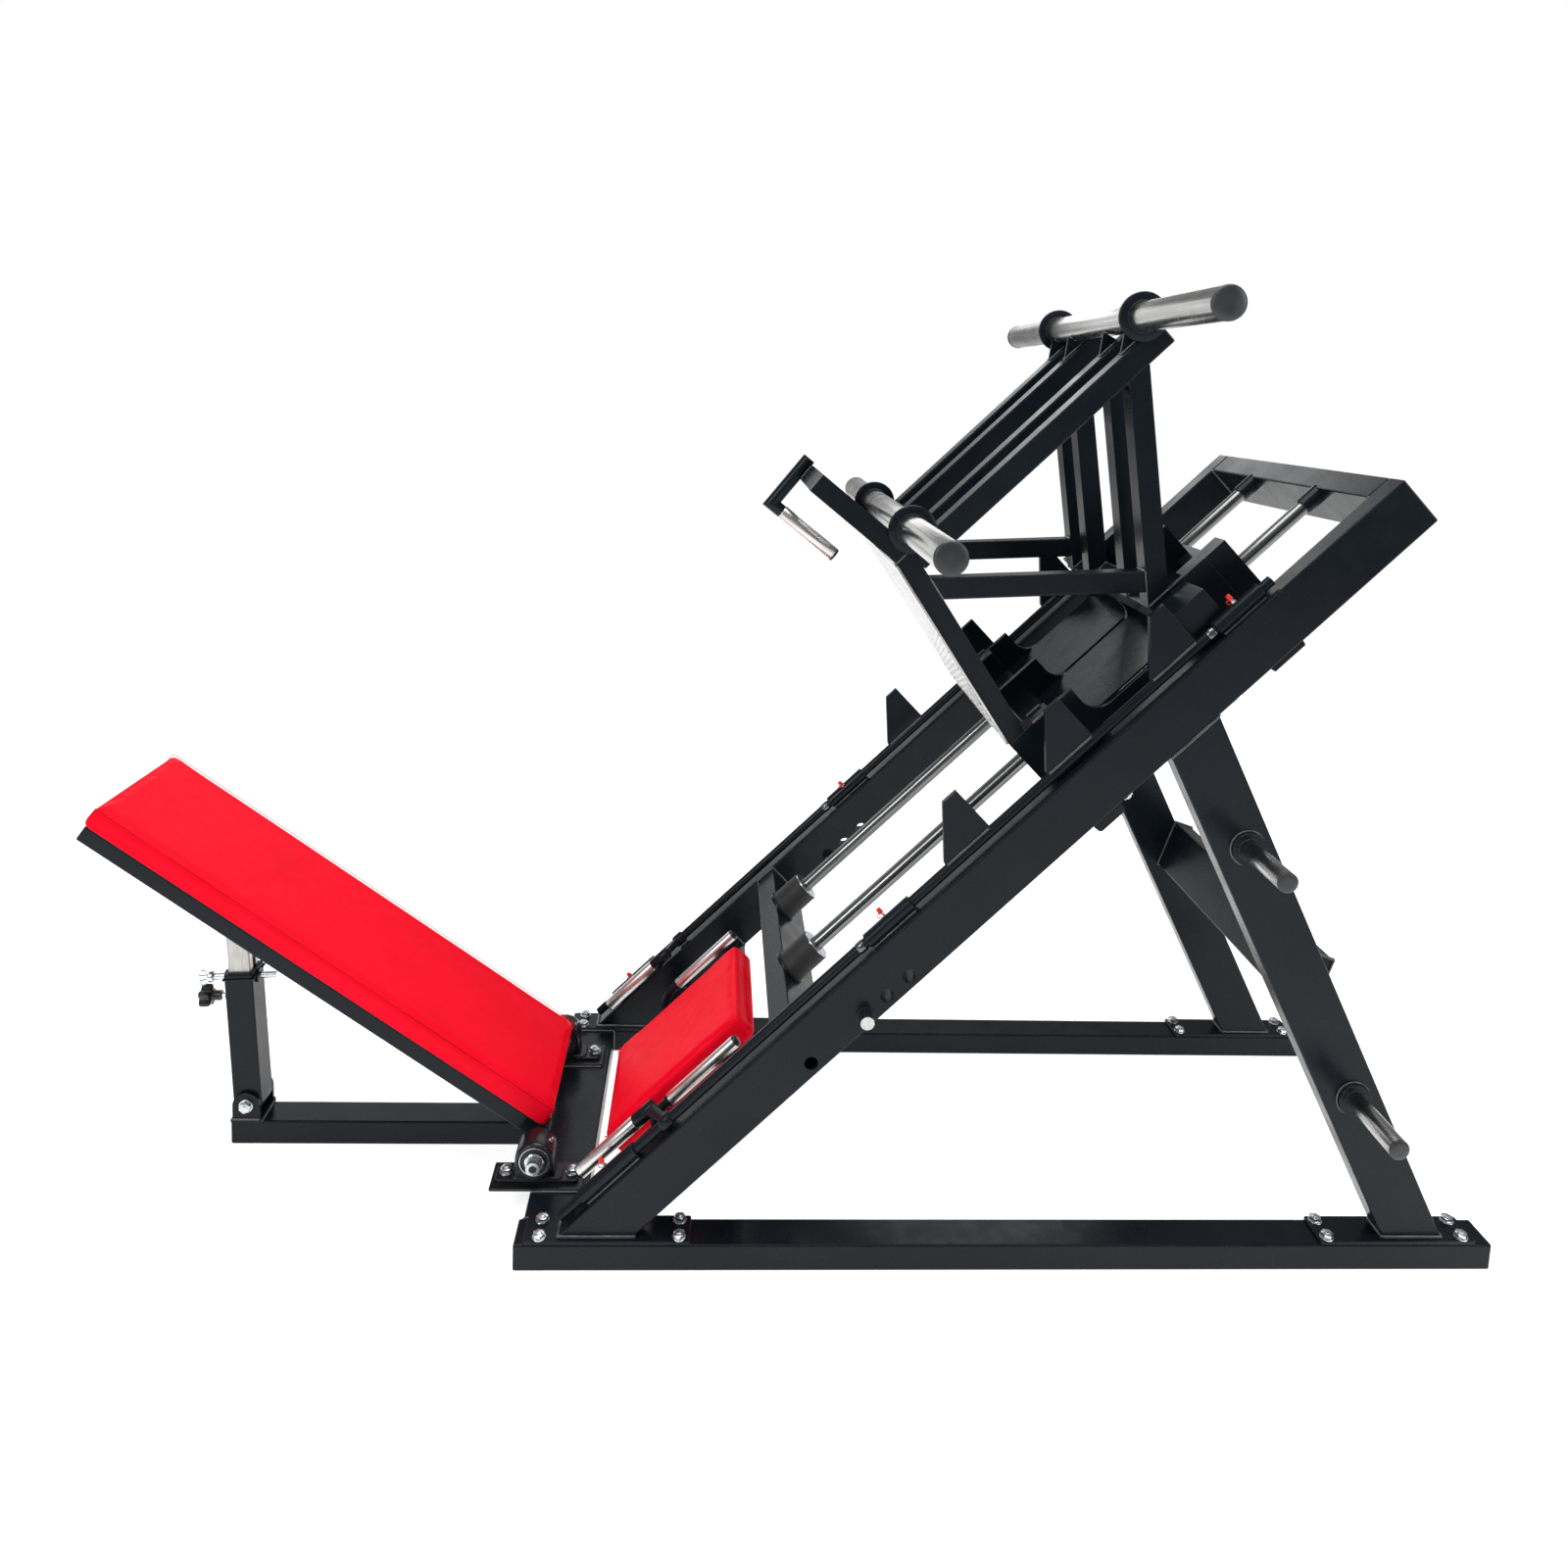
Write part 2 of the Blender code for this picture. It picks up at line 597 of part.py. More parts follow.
def hitch_pin():
    (xa, za), (xb, zb) = prop(0.2387, -0.062), prop(0.2387, 0.060)
    bm = bmesh.new()
    add_cyl(bm, (xa, 0.0, za), (xb, 0.0, zb), 0.006, 20)
    obj = make("hitch_pin", bm, STEEL, 1.0, smooth=True)
    head = bmesh.new()
    (xc, zc) = prop(0.2387, -0.055)
    add_cyl(head, (xa, 0.0, za), (xc, 0.0, zc), 0.010, 20)
    boolean(obj, "UNION", "hitch_head", head)
    x, z = prop(0.2387, 0.0)
    origin_at(obj, (x, 0.0, z))


def star_knob():
    a = 0.2016
    (xa, za), (xb, zb) = prop(a, -0.0258), prop(a, -0.062)
    bm = bmesh.new()
    add_cyl(bm, (xa, 0.0, za), (xb, 0.0, zb), 0.005, 20)
    obj = make("star_knob", bm, RUBBER)
    outward = Vector((xb - xa, 0.0, zb - za)).normalized()
    upright = Vector((0.0, 1.0, 0.0)).cross(outward)
    head = bmesh.new()
    verts = []
    xs, zs = prop(a, -0.060)
    start = Vector((xs, 0.0, zs))
    for k in range(40):
        angle = 2 * math.pi * k / 40
        r = 0.0185 + 0.0030 * math.cos(5 * angle)
        verts.append(head.verts.new(start + Vector((0.0, 1.0, 0.0)) * r * math.cos(angle)
                                    + upright * r * math.sin(angle)))
    face = head.faces.new(verts)
    made = bmesh.ops.extrude_face_region(head, geom=[face])["geom"]
    moved = [g for g in made if isinstance(g, bmesh.types.BMVert)]
    bmesh.ops.translate(head, verts=moved, vec=outward * 0.021)
    boolean(obj, "UNION", "knob_head", head)
    origin_at(obj, (xa, 0.0, za))


# ---------------------------------------------------------------- carriage
def plate_profile(s0):
    dip = [(1.2915, 0.2278), (1.2915, 0.2120)] + [
        (1.2695 + 0.022 * math.cos(math.radians(a)), 0.2120 + 0.022 * math.sin(math.radians(a)))
        for a in (-20, -45, -70, -90)]
    rise = [(1.1400 - 0.034 * math.sin(math.radians(a)), 0.2240 - 0.034 * math.cos(math.radians(a)))
            for a in (0, 25, 50, 75, 90)]
    return [(s0, 0.160), (1.4147, 0.160), (1.4147, 0.2680), (1.3357, 0.2680), (1.3357, 0.2278)] + dip + rise + [
        (1.1060, 0.2533), (s0, 0.2533)]


def carriage_side(tag, side):
    ya, yb = spans(side, 0.212, OUT1)
    bm = bmesh.new()
    add_prism(bm, incs(plate_profile(0.9676)), ya, yb)
    obj = make(f"carriage_side_{tag}", bm)
    blocks = bmesh.new()
    yc, yd = spans(side, OUT0, OUT1 - 0.0005)
    for s0, s1, n1 in ((0.9681, 1.0576, 0.2528), (1.3689, 1.4580, 0.2675)):
        add_prism(blocks, incs([(s0, 0.1605), (s1, 0.1605), (s1, n1), (s0, n1)]), yc, yd)
    lug = bmesh.new()
    ye, yf = spans(side, OUT1 - 0.0007, 0.300)
    add_prism(lug, incs([(1.3027, 0.2159), (1.3640, 0.2159), (1.3640, 0.2620), (1.3027, 0.2620)]), ye, yf)
    boolean(obj, "UNION", f"side_blocks_{tag}", blocks)
    boolean(obj, "UNION", f"side_lug_{tag}", lug)


def carriage_mid_plate():
    profile = plate_profile(1.0109)
    raised = [(1.4147, 0.2115), (1.4455, 0.2115), (1.4455, 0.2756), (1.3357, 0.2756)]
    profile = profile[:2] + raised + profile[4:]
    profile[1] = (1.4147, 0.160)
    bm = bmesh.new()
    add_prism(bm, incs(profile), -0.006, 0.006)
    obj = make("carriage_mid_plate", bm)
    for n, (ya, yb) in enumerate(((0.0055, 0.2117), (-0.2117, -0.0055))):
        pan = bmesh.new()
        add_prism(pan, incs([(1.0582, 0.1900), (1.3674, 0.1900), (1.3674, 0.1940), (1.0582, 0.1940)]), ya, yb)
        boolean(obj, "UNION", f"pan_{n}", pan)


def bearing_beam(name, s0, s1, n0, n1, h0, h1):
    y = OUT0 - GAP
    bm = bmesh.new()
    add_prism(bm, incs([(s0, n0), (s1, n0), (s1, n1), (s0, n1)]), -y, y)
    obj = make(name, bm)
    bevel(obj, 0.002, 1)
    blocks = bmesh.new()
    bores = bmesh.new()
    for side in (-1, 1):
        add_prism(blocks, incs([(h0, 0.1408), (h1, 0.1408), (h1, 0.2125), (h0, 0.2125)]),
                  side * ROD_Y - 0.040, side * ROD_Y + 0.040)
        xa, za = inc(h0 - 0.02, ROD_N)
        xb, zb = inc(h1 + 0.02, ROD_N)
        add_cyl(bores, (xa, side * ROD_Y, za), (xb, side * ROD_Y, zb), ROD_R + GAP, 32)
    boolean(obj, "UNION", f"{name}_blocks", blocks)
    boolean(obj, "DIFFERENCE", f"{name}_bores", bores)


def post_line(z, offset):
    """X of a post edge at height z."""
    return INCLINE_X + 0.7315 + offset - 0.1655 * (z - 1.161)


def line_at_n(offset, n):
    """Point of a post edge at the level n above the slope."""
    x0 = post_line(0.0, offset) - INCLINE_X
    z = (n / K + x0) / (1.0 + 0.1655)
    return INCLINE_X + x0 - 0.1655 * z, z


def post_frame():
    bm = bmesh.new()
    add_prism(bm, incs([(1.2918, 0.2281), (1.3354, 0.2281), (1.3354, 0.2680), (1.2918, 0.2680)]),
              -0.2232, 0.2232)
    obj = make("post_frame", bm)
    foot_l, foot_r = line_at_n(-0.018, 0.2670), line_at_n(0.018, 0.2670)
    top_l, top_r = line_at_n(-0.018, BAR_N0 - GAP), line_at_n(0.018, BAR_N0 - GAP)
    posts = bmesh.new()
    for a, b in ((OUT0, 0.2227), (IN0, IN1)):
        for side in (-1, 1):
            ya, yb = spans(side, a, b)
            add_prism(posts, [foot_l, foot_r, top_r, top_l], ya, yb)
    boolean(obj, "UNION", "posts", posts)


def inclined_bar(place, tag, side, a, b):
    ya, yb = spans(side, a, b)
    bm = bmesh.new()
    add_prism(bm, incs([(1.0619, BAR_N0), (1.6071, BAR_N0), (1.6071, BAR_N1), (1.0698, BAR_N1)]), ya, yb)
    obj = make(f"inclined_bar_{place}_{tag}", bm)
    bevel(obj, 0.003)
    gusset = bmesh.new()
    mid = side * (a + b) / 2
    add_prism(gusset, incs([(1.528, BAR_N1 - 0.001), (1.572, BAR_N1 - 0.001), (1.5655, 0.630), (1.562, 0.638)]),
              mid - 0.003, mid + 0.003)
    boolean(obj, "UNION", f"gusset_{place}_{tag}", gusset)


def frame_corners():
    """Corners of the bent footplate frame tube, X and Z."""
    a0, a1, a2 = (0.5051, 0.8633), (0.2992, 1.1634), (0.1525, 1.2771)
    d1 = Vector((a1[0] - a0[0], a1[1] - a0[1])).normalized()
    d2 = Vector((a2[0] - a1[0], a2[1] - a1[1])).normalized()
    n1 = Vector((d1.y, -d1.x))
    n2 = Vector((d2.y, -d2.x))
    p0 = Vector(a0) + n1 * FRAME_T
    p2 = Vector(a2) + n2 * FRAME_T
    cross = d1.x * -d2.y + d1.y * d2.x
    gap = p2 - p0
    t = (gap.x * -d2.y + gap.y * d2.x) / cross
    p1 = p0 + d1 * t
    shift = Vector((INCLINE_X, 0.0))
    return [Vector(a0) + shift, Vector(a1) + shift, Vector(a2) + shift, p2 + shift, p1 + shift, p0 + shift]


def horizontal_bar(tag, side):
    a0, a1, a2, b2, b1, b0 = frame_corners()

    def left(z):
        return b0.x + (b1.x - b0.x) * (z - b0.y) / (b1.y - b0.y) + 0.0004

    ya, yb = spans(side, OUT0, 0.2232)
    lows = (left(1.1055), 1.1055), (post_line(1.1277, -0.0184), 1.1277)
    highs = (left(1.1405), 1.1405), (post_line(1.1637, -0.0184), 1.1637)
    bm = bmesh.new()
    add_prism(bm, [lows[0], lows[1], highs[1], highs[0]], ya, yb)
    bevel(make(f"horizontal_bar_{tag}", bm), 0.003)


def footplate_frame():
    a0, a1, a2, b2, b1, b0 = frame_corners()
    level = 0.2536 / K

    def foot(p, q):
        """Where the edge p-q meets the top of the side blocks."""
        u, w = p - Vector((INCLINE_X, 0.0)), q - Vector((INCLINE_X, 0.0))
        f = (level - (u.y - u.x)) / ((w.y - w.x) - (u.y - u.x))
        return p + (q - p) * f

    fa, fb = foot(a0, a1), foot(b0, b1)
    outline = [tuple(p) for p in (fa, a1, a2, b2, b1, fb)]
    ya, yb = OUT0, OUT1
    bm = bmesh.new()
    add_prism(bm, outline, -yb, -ya)
    obj = make("footplate_frame", bm)
    far = bmesh.new()
    add_prism(far, outline, ya, yb)
    down = (b1 - b2).normalized()
    across = (b2 - a2).normalized()
    top_a, top_b = a2 + down * 0.0005 + across * 0.0005, b2 + down * 0.0005 - across * 0.0005
    back = down * (FRAME_T - 0.001)
    low = (a0 - a1).normalized()
    square = Vector((-low.y, low.x))
    mid_a = a1 + low * 0.010 + square * 0.0005
    mid_b = a1 + low * 0.010 + square * (FRAME_T - 0.0005)
    rungs = bmesh.new()
    add_prism(rungs, [tuple(p) for p in (top_a, top_b, top_b + back, top_a + back)], -OUT0 - 0.001,
              OUT0 + 0.001)
    add_prism(rungs, [tuple(p) for p in (mid_a, mid_b, mid_b + low * 0.030, mid_a + low * 0.030)],
              -OUT0 - 0.001, OUT0 + 0.001)
    boolean(obj, "UNION", "frame_rungs", rungs)
    boolean(obj, "UNION", "frame_far", far)


def footplate():
    a0, a1, a2, b2, b1, b0 = frame_corners()
    along = (a1 - a0).normalized()
    out = Vector((-along.y, along.x))
    if out.x > 0:
        out = -out
    start = a0 + along * 0.004
    end = a1 - along * 0.004
    outline = [start + out * GAP, start + out * 0.0053, end + out * 0.0053, end + out * GAP]
    bm = bmesh.new()
    add_prism(bm, [tuple(p) for p in outline], -0.232, 0.232)
    make("footplate", bm, STEEL, 1.0)


def horn(name, place):
    x, z = inc(*place)
    bm = bmesh.new()
    add_cyl(bm, (x, -HORN_HALF, z), (x, HORN_HALF, z), HORN_R, 40)
    obj = make(name, bm, STEEL, 1.0, smooth=True)
    domes = bmesh.new()
    flanges = bmesh.new()
    for side in (-1, 1):
        add_cyl(flanges, (x, side * 0.2273, z), (x, side * 0.2353, z), 0.040, 40)
        add_cyl(domes, (x, side * (HORN_HALF - 0.001), z), (x, side * (HORN_HALF + 0.005), z),
                HORN_R + 0.0006, 40)
    boolean(obj, "UNION", f"{name}_flanges", flanges)
    boolean(obj, "UNION", f"{name}_domes", domes)


def carriage_handle():
    a0, a1, a2, b2, b1, b0 = frame_corners()
    out = (a2 - a1).normalized()
    face = (b2 - a2).normalized()
    p0 = b2 + out * 0.0123 + face * 0.006
    p1 = a2 + out * 0.0123 - face * 0.0656
    p2 = p1 - out * 0.1494
    bm = bmesh.new()
    add_pipe(bm, [(p.x, 0.0, p.y) for p in (p0, p1, p2)], 0.012, 28)
    make("carriage_handle", bm, BLACK, smooth=True)


# ---------------------------------------------------------------- build
def build():
    front_cross_beam()
    centre_base_tube()
    slope_cross("lower_cross_beam", 0.3565, 0.402)
    top_cross_beam()
    rear_cross_brace()
    seat_frame()
    seat_pad()
    backrest_axle()
    backrest_frame()
    backrest_pad()
    prop_clevis()
    prop_sleeve()
    prop_inner_tube()
    hitch_pin()
    star_knob()
    carriage_mid_plate()
    bearing_beam("lower_bearing_beam", 0.9676, 1.0106, 0.2105, 0.2530, 0.9682, 1.0576)
    bearing_beam("upper_bearing_beam", 1.4150, 1.4577, 0.1500, 0.2110, 1.3680, 1.4571)
    post_frame()
    footplate_frame()
    footplate()
    horn("upper_horn", UPPER_HORN)
    horn("lower_horn", LOWER_HORN)
    carriage_handle()
    for tag, side in SIDES:
        base_rail(tag, side)
        foot_plate("front", tag, side, -0.4185, -0.1465, (-0.3931, -0.1654))
        foot_plate("rear", tag, side, 0.913, 1.183, (0.9273, 1.1624))
        incline_beam(tag, side)
        rear_leg(tag, side)
        storage_peg("upper", tag, side, 0.727, 0.736)
        storage_peg("lower", tag, side, 0.947, 0.305)
        guide_rod(tag, side)
        lower_bumper(tag, side)
        seat_grip(tag, side)
        lock_shaft(tag, side)
        lock_handle(tag, side)
        stop_pin(tag, side)
        pillow_block(tag, side)
        carriage_side(tag, side)
        inclined_bar("outer", tag, side, OUT0, OUT1)
        inclined_bar("inner", tag, side, IN0, IN1)
        horizontal_bar(tag, side)


build()
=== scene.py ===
"""Looks of the 45 degree leg press: finishes, stitched pads, bolts, welds and fittings around the CAD frame."""

import math

import bmesh
import bpy
from mathutils import Matrix, Vector
from mathutils.bvhtree import BVHTree


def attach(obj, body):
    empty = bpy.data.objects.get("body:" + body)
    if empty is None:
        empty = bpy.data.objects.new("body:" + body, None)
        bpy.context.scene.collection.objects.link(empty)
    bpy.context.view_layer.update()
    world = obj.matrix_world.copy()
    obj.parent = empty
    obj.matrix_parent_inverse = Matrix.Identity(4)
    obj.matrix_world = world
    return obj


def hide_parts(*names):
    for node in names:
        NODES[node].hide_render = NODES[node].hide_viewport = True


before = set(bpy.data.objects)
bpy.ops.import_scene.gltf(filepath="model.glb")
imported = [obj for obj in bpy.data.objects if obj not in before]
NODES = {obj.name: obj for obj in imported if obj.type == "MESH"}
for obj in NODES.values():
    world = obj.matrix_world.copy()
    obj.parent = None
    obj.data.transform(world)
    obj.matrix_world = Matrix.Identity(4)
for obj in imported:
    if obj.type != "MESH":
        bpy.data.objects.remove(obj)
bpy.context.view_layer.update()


SIDES = (("near", -1), ("far", 1))

# driving dimensions of the CAD, in metres
K = math.sqrt(0.5)
INCLINE_X = -0.147
REST_LOW = (-0.3885, 0.143)
REST_ANGLE = math.radians(35.0)
REST_LEN = 0.9642
PAD_T = 0.042
PIVOT = (-0.421, 0.0934)
PROP_BASE = (-0.978, 0.0787)
PROP_AXIS = (-0.05349948, 0.99856788)
ROD_Y, ROD_N = 0.1215, 0.1755
SHAFT_Y, SHAFT_N = 0.313, 0.2035
BEAM_IN, BEAM_OUT = 0.292, 0.334
BEAM_N0, BEAM_N1 = 0.1023, 0.1899
FOOT_TOP = 0.052
UP = Vector((0.0, 0.0, 1.0))
ACROSS = Vector((0.0, 1.0, 0.0))
SLOPE = Vector((K, 0.0, K))
NORMAL = Vector((-K, 0.0, K))


def inc(s, n, y=0.0):
    """Point of the slope frame: s up the slope, n square to it."""
    return Vector((INCLINE_X + (s - n) * K, y, (s + n) * K))


def rest(t, v, y=0.0):
    """Point of the backrest frame: t up the backrest, v out of the pad top."""
    c, s = math.cos(REST_ANGLE), math.sin(REST_ANGLE)
    return Vector((REST_LOW[0] - c * t + s * v, y, REST_LOW[1] + s * t + c * v))


def prop(a, b, y=0.0):
    """Point of the prop frame: a along the prop, b square to it."""
    ex, ez = PROP_AXIS
    return Vector((PROP_BASE[0] + ex * a + ez * b, y, PROP_BASE[1] + ez * a - ex * b))


# ---------------------------------------------------------------- materials
def nodes_of(name, metallic=0.0, **sockets):
    """New material, its tree and its shader, with the constants set on the shader's sockets."""
    mat = bpy.data.materials.new(name)
    mat.use_nodes = True
    tree = mat.node_tree
    bsdf = tree.nodes["Principled BSDF"]
    bsdf.inputs["Metallic"].default_value = metallic
    for key, value in sockets.items():
        bsdf.inputs[key.replace("_", " ")].default_value = value
    return mat, tree, bsdf


def add(tree, kind, **values):
    node = tree.nodes.new(kind)
    for key, value in values.items():
        if hasattr(node, key):
            setattr(node, key, value)
        else:
            node.inputs[key.replace("_", " ")].default_value = value
    return node


def coords(tree, turn=0.0, stretch=(1.0, 1.0, 1.0)):
    """Object coordinates, turned about Y and then stretched."""
    source = add(tree, "ShaderNodeTexCoord")
    mapping = add(tree, "ShaderNodeMapping", vector_type="TEXTURE")
    mapping.inputs["Rotation"].default_value = (0.0, turn, 0.0)
    mapping.inputs["Scale"].default_value = stretch
    tree.links.new(source.outputs["Object"], mapping.inputs["Vector"])
    return mapping.outputs["Vector"]


def noise(tree, vector, scale, detail=3.0, rough=0.55):
    node = add(tree, "ShaderNodeTexNoise", Scale=scale, Detail=detail, Roughness=rough)
    tree.links.new(vector, node.inputs["Vector"])
    return node.outputs["Fac"]


def spread(tree, value, low, high, a=0.3, b=0.7):
    """Map a..b on to low..high."""
    node = add(tree, "ShaderNodeMapRange")
    for key, number in (("From Min", a), ("From Max", b), ("To Min", low), ("To Max", high)):
        node.inputs[key].default_value = number
    tree.links.new(value, node.inputs["Value"])
    return node.outputs["Result"]


def mix(tree, factor, first, second):
    node = add(tree, "ShaderNodeMix", data_type="RGBA")
    tree.links.new(factor, node.inputs["Factor"])
    for socket, value in ((node.inputs[6], first), (node.inputs[7], second)):
        if isinstance(value, tuple):
            socket.default_value = (*value, 1.0)
        else:
            tree.links.new(value, socket)
    return node.outputs[2]


def bump(tree, height, strength, distance, normal=None):
    node = add(tree, "ShaderNodeBump", Strength=strength, Distance=distance)
    tree.links.new(height, node.inputs["Height"])
    if normal is not None:
        tree.links.new(normal, node.inputs["Normal"])
    return node.outputs["Normal"]


def edge_mask(tree, radius):
    """Rounded-edge normal and how much of an edge a point is on."""
    rounded = add(tree, "ShaderNodeBevel", samples=4, Radius=radius)
    plane = add(tree, "ShaderNodeNewGeometry")
    dot = add(tree, "ShaderNodeVectorMath", operation="DOT_PRODUCT")
    tree.links.new(rounded.outputs["Normal"], dot.inputs[0])
    tree.links.new(plane.outputs["Normal"], dot.inputs[1])
    return rounded.outputs["Normal"], spread(tree, dot.outputs["Value"], 1.0, 0.0, 0.80, 0.995)


def powder(name, dark, light, rough=(0.20, 0.34), worn_and_highlight=(0.07, 0.085, 0.095), specular=0.15, coat=0.02):
    """Gloss powder coat: orange peel, slow colour drift, and rounded edges painted paler, partly as edge wear and
    partly as a painted highlight.
    """
    mat, tree, bsdf = nodes_of(name, Specular_IOR_Level=specular, Coat_Weight=coat, Coat_Roughness=0.06)
    at = coords(tree)
    slow = noise(tree, at, 5.0)
    normal, edge = edge_mask(tree, 0.0016)
    # paler colour on rounded edges: partly edge wear, partly a painted highlight where the edges catch the light
    edge_wear_and_highlight = add(tree, "ShaderNodeMath", operation="MULTIPLY")
    tree.links.new(edge, edge_wear_and_highlight.inputs[0])
    tree.links.new(spread(tree, noise(tree, at, 38.0), 0.10, 0.75), edge_wear_and_highlight.inputs[1])
    base = mix(tree, spread(tree, slow, 0.0, 1.0), dark, light)
    tree.links.new(mix(tree, edge_wear_and_highlight.outputs[0], base, worn_and_highlight), bsdf.inputs["Base Color"])
    tree.links.new(spread(tree, noise(tree, at, 21.0, 5.0), *rough), bsdf.inputs["Roughness"])
    peel = bump(tree, noise(tree, at, 420.0, 2.0), 0.16, 0.0004, normal)
    tree.links.new(peel, bsdf.inputs["Normal"])
    return mat


def metal(name, dark, light, rough, turn=0.0, stretch=(1.0, 1.0, 1.0), grain=900.0, depth=0.10):
    """Bare steel with drawn lines along one direction."""
    mat, tree, bsdf = nodes_of(name, metallic=1.0)
    at = coords(tree, turn, stretch)
    even = coords(tree)
    lines = noise(tree, at, grain, 3.0)
    tone = mix(tree, spread(tree, lines, 0.0, 1.0, 0.25, 0.75), dark, light)
    stain = mix(tree, spread(tree, noise(tree, even, 9.0, 3.0), 0.0, 0.22), tone, tuple(0.7 * c for c in dark))
    tree.links.new(stain, bsdf.inputs["Base Color"])
    tree.links.new(spread(tree, noise(tree, even, 33.0, 4.0), *rough), bsdf.inputs["Roughness"])
    tree.links.new(bump(tree, lines, depth, 0.0003), bsdf.inputs["Normal"])
    return mat


def hide(name, dark, light):
    """Upholstery vinyl: pebbled grain over soft wrinkles."""
    mat, tree, bsdf = nodes_of(name, Specular_IOR_Level=0.05)
    at = coords(tree)
    tree.links.new(mix(tree, spread(tree, noise(tree, at, 9.0, 4.0), 0.0, 1.0), dark, light),
                   bsdf.inputs["Base Color"])
    tree.links.new(spread(tree, noise(tree, at, 60.0, 4.0), 0.40, 0.54), bsdf.inputs["Roughness"])
    cells = add(tree, "ShaderNodeTexVoronoi", feature="DISTANCE_TO_EDGE", Scale=620.0)
    tree.links.new(at, cells.inputs["Vector"])
    folds = bump(tree, noise(tree, at, 26.0, 3.0), 0.10, 0.002)
    grain = bump(tree, spread(tree, cells.outputs["Distance"], 0.0, 1.0, 0.0, 0.35), 0.16, 0.0004, folds)
    tree.links.new(grain, bsdf.inputs["Normal"])
    return mat


def moulded(name, dark, light, rough, scale=300.0, strength=0.2):
    """Rubber or plastic with a fine moulded texture."""
    mat, tree, bsdf = nodes_of(name, Specular_IOR_Level=0.4)
    at = coords(tree)
    tree.links.new(mix(tree, spread(tree, noise(tree, at, 24.0, 4.0), 0.0, 1.0), dark, light),
                   bsdf.inputs["Base Color"])
    tree.links.new(spread(tree, noise(tree, at, 48.0, 3.0), *rough), bsdf.inputs["Roughness"])
    tree.links.new(bump(tree, noise(tree, at, scale, 3.0), strength, 0.0004), bsdf.inputs["Normal"])
    return mat


QUARTER = math.radians(45.0)
POWDER = powder("powder_coat", (0.0036, 0.0064, 0.0098), (0.0062, 0.0098, 0.0138))
# weld beads: the near-white colour on the rounded scales is a painted highlight
BEAD = powder("weld_coat", (0.020, 0.023, 0.026), (0.070, 0.074, 0.078), (0.06, 0.14), (0.42, 0.44, 0.45), 0.5, 0.5)
CAST = powder("cast_coat", (0.0050, 0.0060, 0.0080), (0.0090, 0.0100, 0.0125), (0.22, 0.36), specular=0.3)
ROD = metal("ground_rod", (0.10, 0.105, 0.105), (0.25, 0.255, 0.25), (0.20, 0.27), -QUARTER, (60.0, 1.0, 1.0),
            500.0, 0.03)
HORN = metal("drawn_horn", (0.36, 0.36, 0.355), (0.58, 0.58, 0.57), (0.22, 0.29), 0.0, (1.0, 80.0, 1.0), 360.0, 0.04)
GRIP = metal("turned_grip", (0.56, 0.54, 0.53), (0.80, 0.78, 0.76), (0.26, 0.36), -QUARTER, (0.3, 1.0, 1.0),
             420.0, 0.03)
ZINC = metal("zinc_plate", (0.50, 0.54, 0.57), (0.80, 0.84, 0.86), (0.20, 0.36), 0.0, (1.0, 1.0, 1.0), 180.0, 0.08)
BARE = metal("bare_tube", (0.30, 0.29, 0.27), (0.56, 0.55, 0.52), (0.26, 0.44), 0.0, (1.0, 1.0, 20.0), 500.0)
TREAD = metal("tread_plate", (0.55, 0.55, 0.55), (0.76, 0.76, 0.76), (0.26, 0.42), 0.0, (1.0, 1.0, 1.0), 240.0)
VINYL = hide("red_vinyl", (0.84, 0.0016, 0.0160), (0.92, 0.0022, 0.0210))
THREAD = hide("red_thread", (0.42, 0.0012, 0.008), (0.58, 0.0030, 0.014))
RUBBER = moulded("black_rubber", (0.012, 0.012, 0.012), (0.026, 0.026, 0.026), (0.50, 0.68))
CAP = moulded("dark_cap", (0.020, 0.022, 0.024), (0.040, 0.042, 0.045), (0.34, 0.46), 520.0, 0.3)
KNOB = moulded("hard_plastic", (0.008, 0.009, 0.011), (0.020, 0.021, 0.024), (0.26, 0.38))
RED_CAP = moulded("red_cap", (0.62, 0.010, 0.006), (0.80, 0.030, 0.015), (0.30, 0.42))
BOARD = moulded("board_cloth", (0.012, 0.012, 0.013), (0.030, 0.030, 0.032), (0.75, 0.90), 900.0, 0.4)


# ---------------------------------------------------------------- mesh helpers
def piece(name, bm, mat, body, sharp=35.0, stands_for=()):
    """A finished piece on a body, smooth apart from its sharp edges."""
    bmesh.ops.recalc_face_normals(bm, faces=bm.faces)
    mesh = bpy.data.meshes.new(name)
    bm.to_mesh(mesh)
    bm.free()
    mesh.materials.append(mat)
    mesh.polygons.foreach_set("use_smooth", [True] * len(mesh.polygons))
    mesh.set_sharp_from_angle(angle=math.radians(sharp))
    obj = bpy.data.objects.new(name, mesh)
    bpy.context.scene.collection.objects.link(obj)
    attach(obj, body)
    if stands_for:
        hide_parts(*stands_for)
    return obj


def skin(bm, rings, closed=False):
    """Faces between rings of points, each ring a loop or a single point."""
    pairs = list(zip(rings, rings[1:]))
    if closed:
        pairs.append((rings[-1], rings[0]))
    for r0, r1 in pairs:
        count = max(len(r0), len(r1))
        for k in range(count):
            j = (k + 1) % count
            corners = [r0[k % len(r0)], r0[j % len(r0)], r1[j % len(r1)], r1[k % len(r1)]]
            unique = list(dict.fromkeys(corners))
            if len(unique) > 2:
                bm.faces.new(unique)
    if not closed:
        for ring in (rings[0], rings[-1]):
            if len(ring) > 2:
                bm.faces.new(ring)


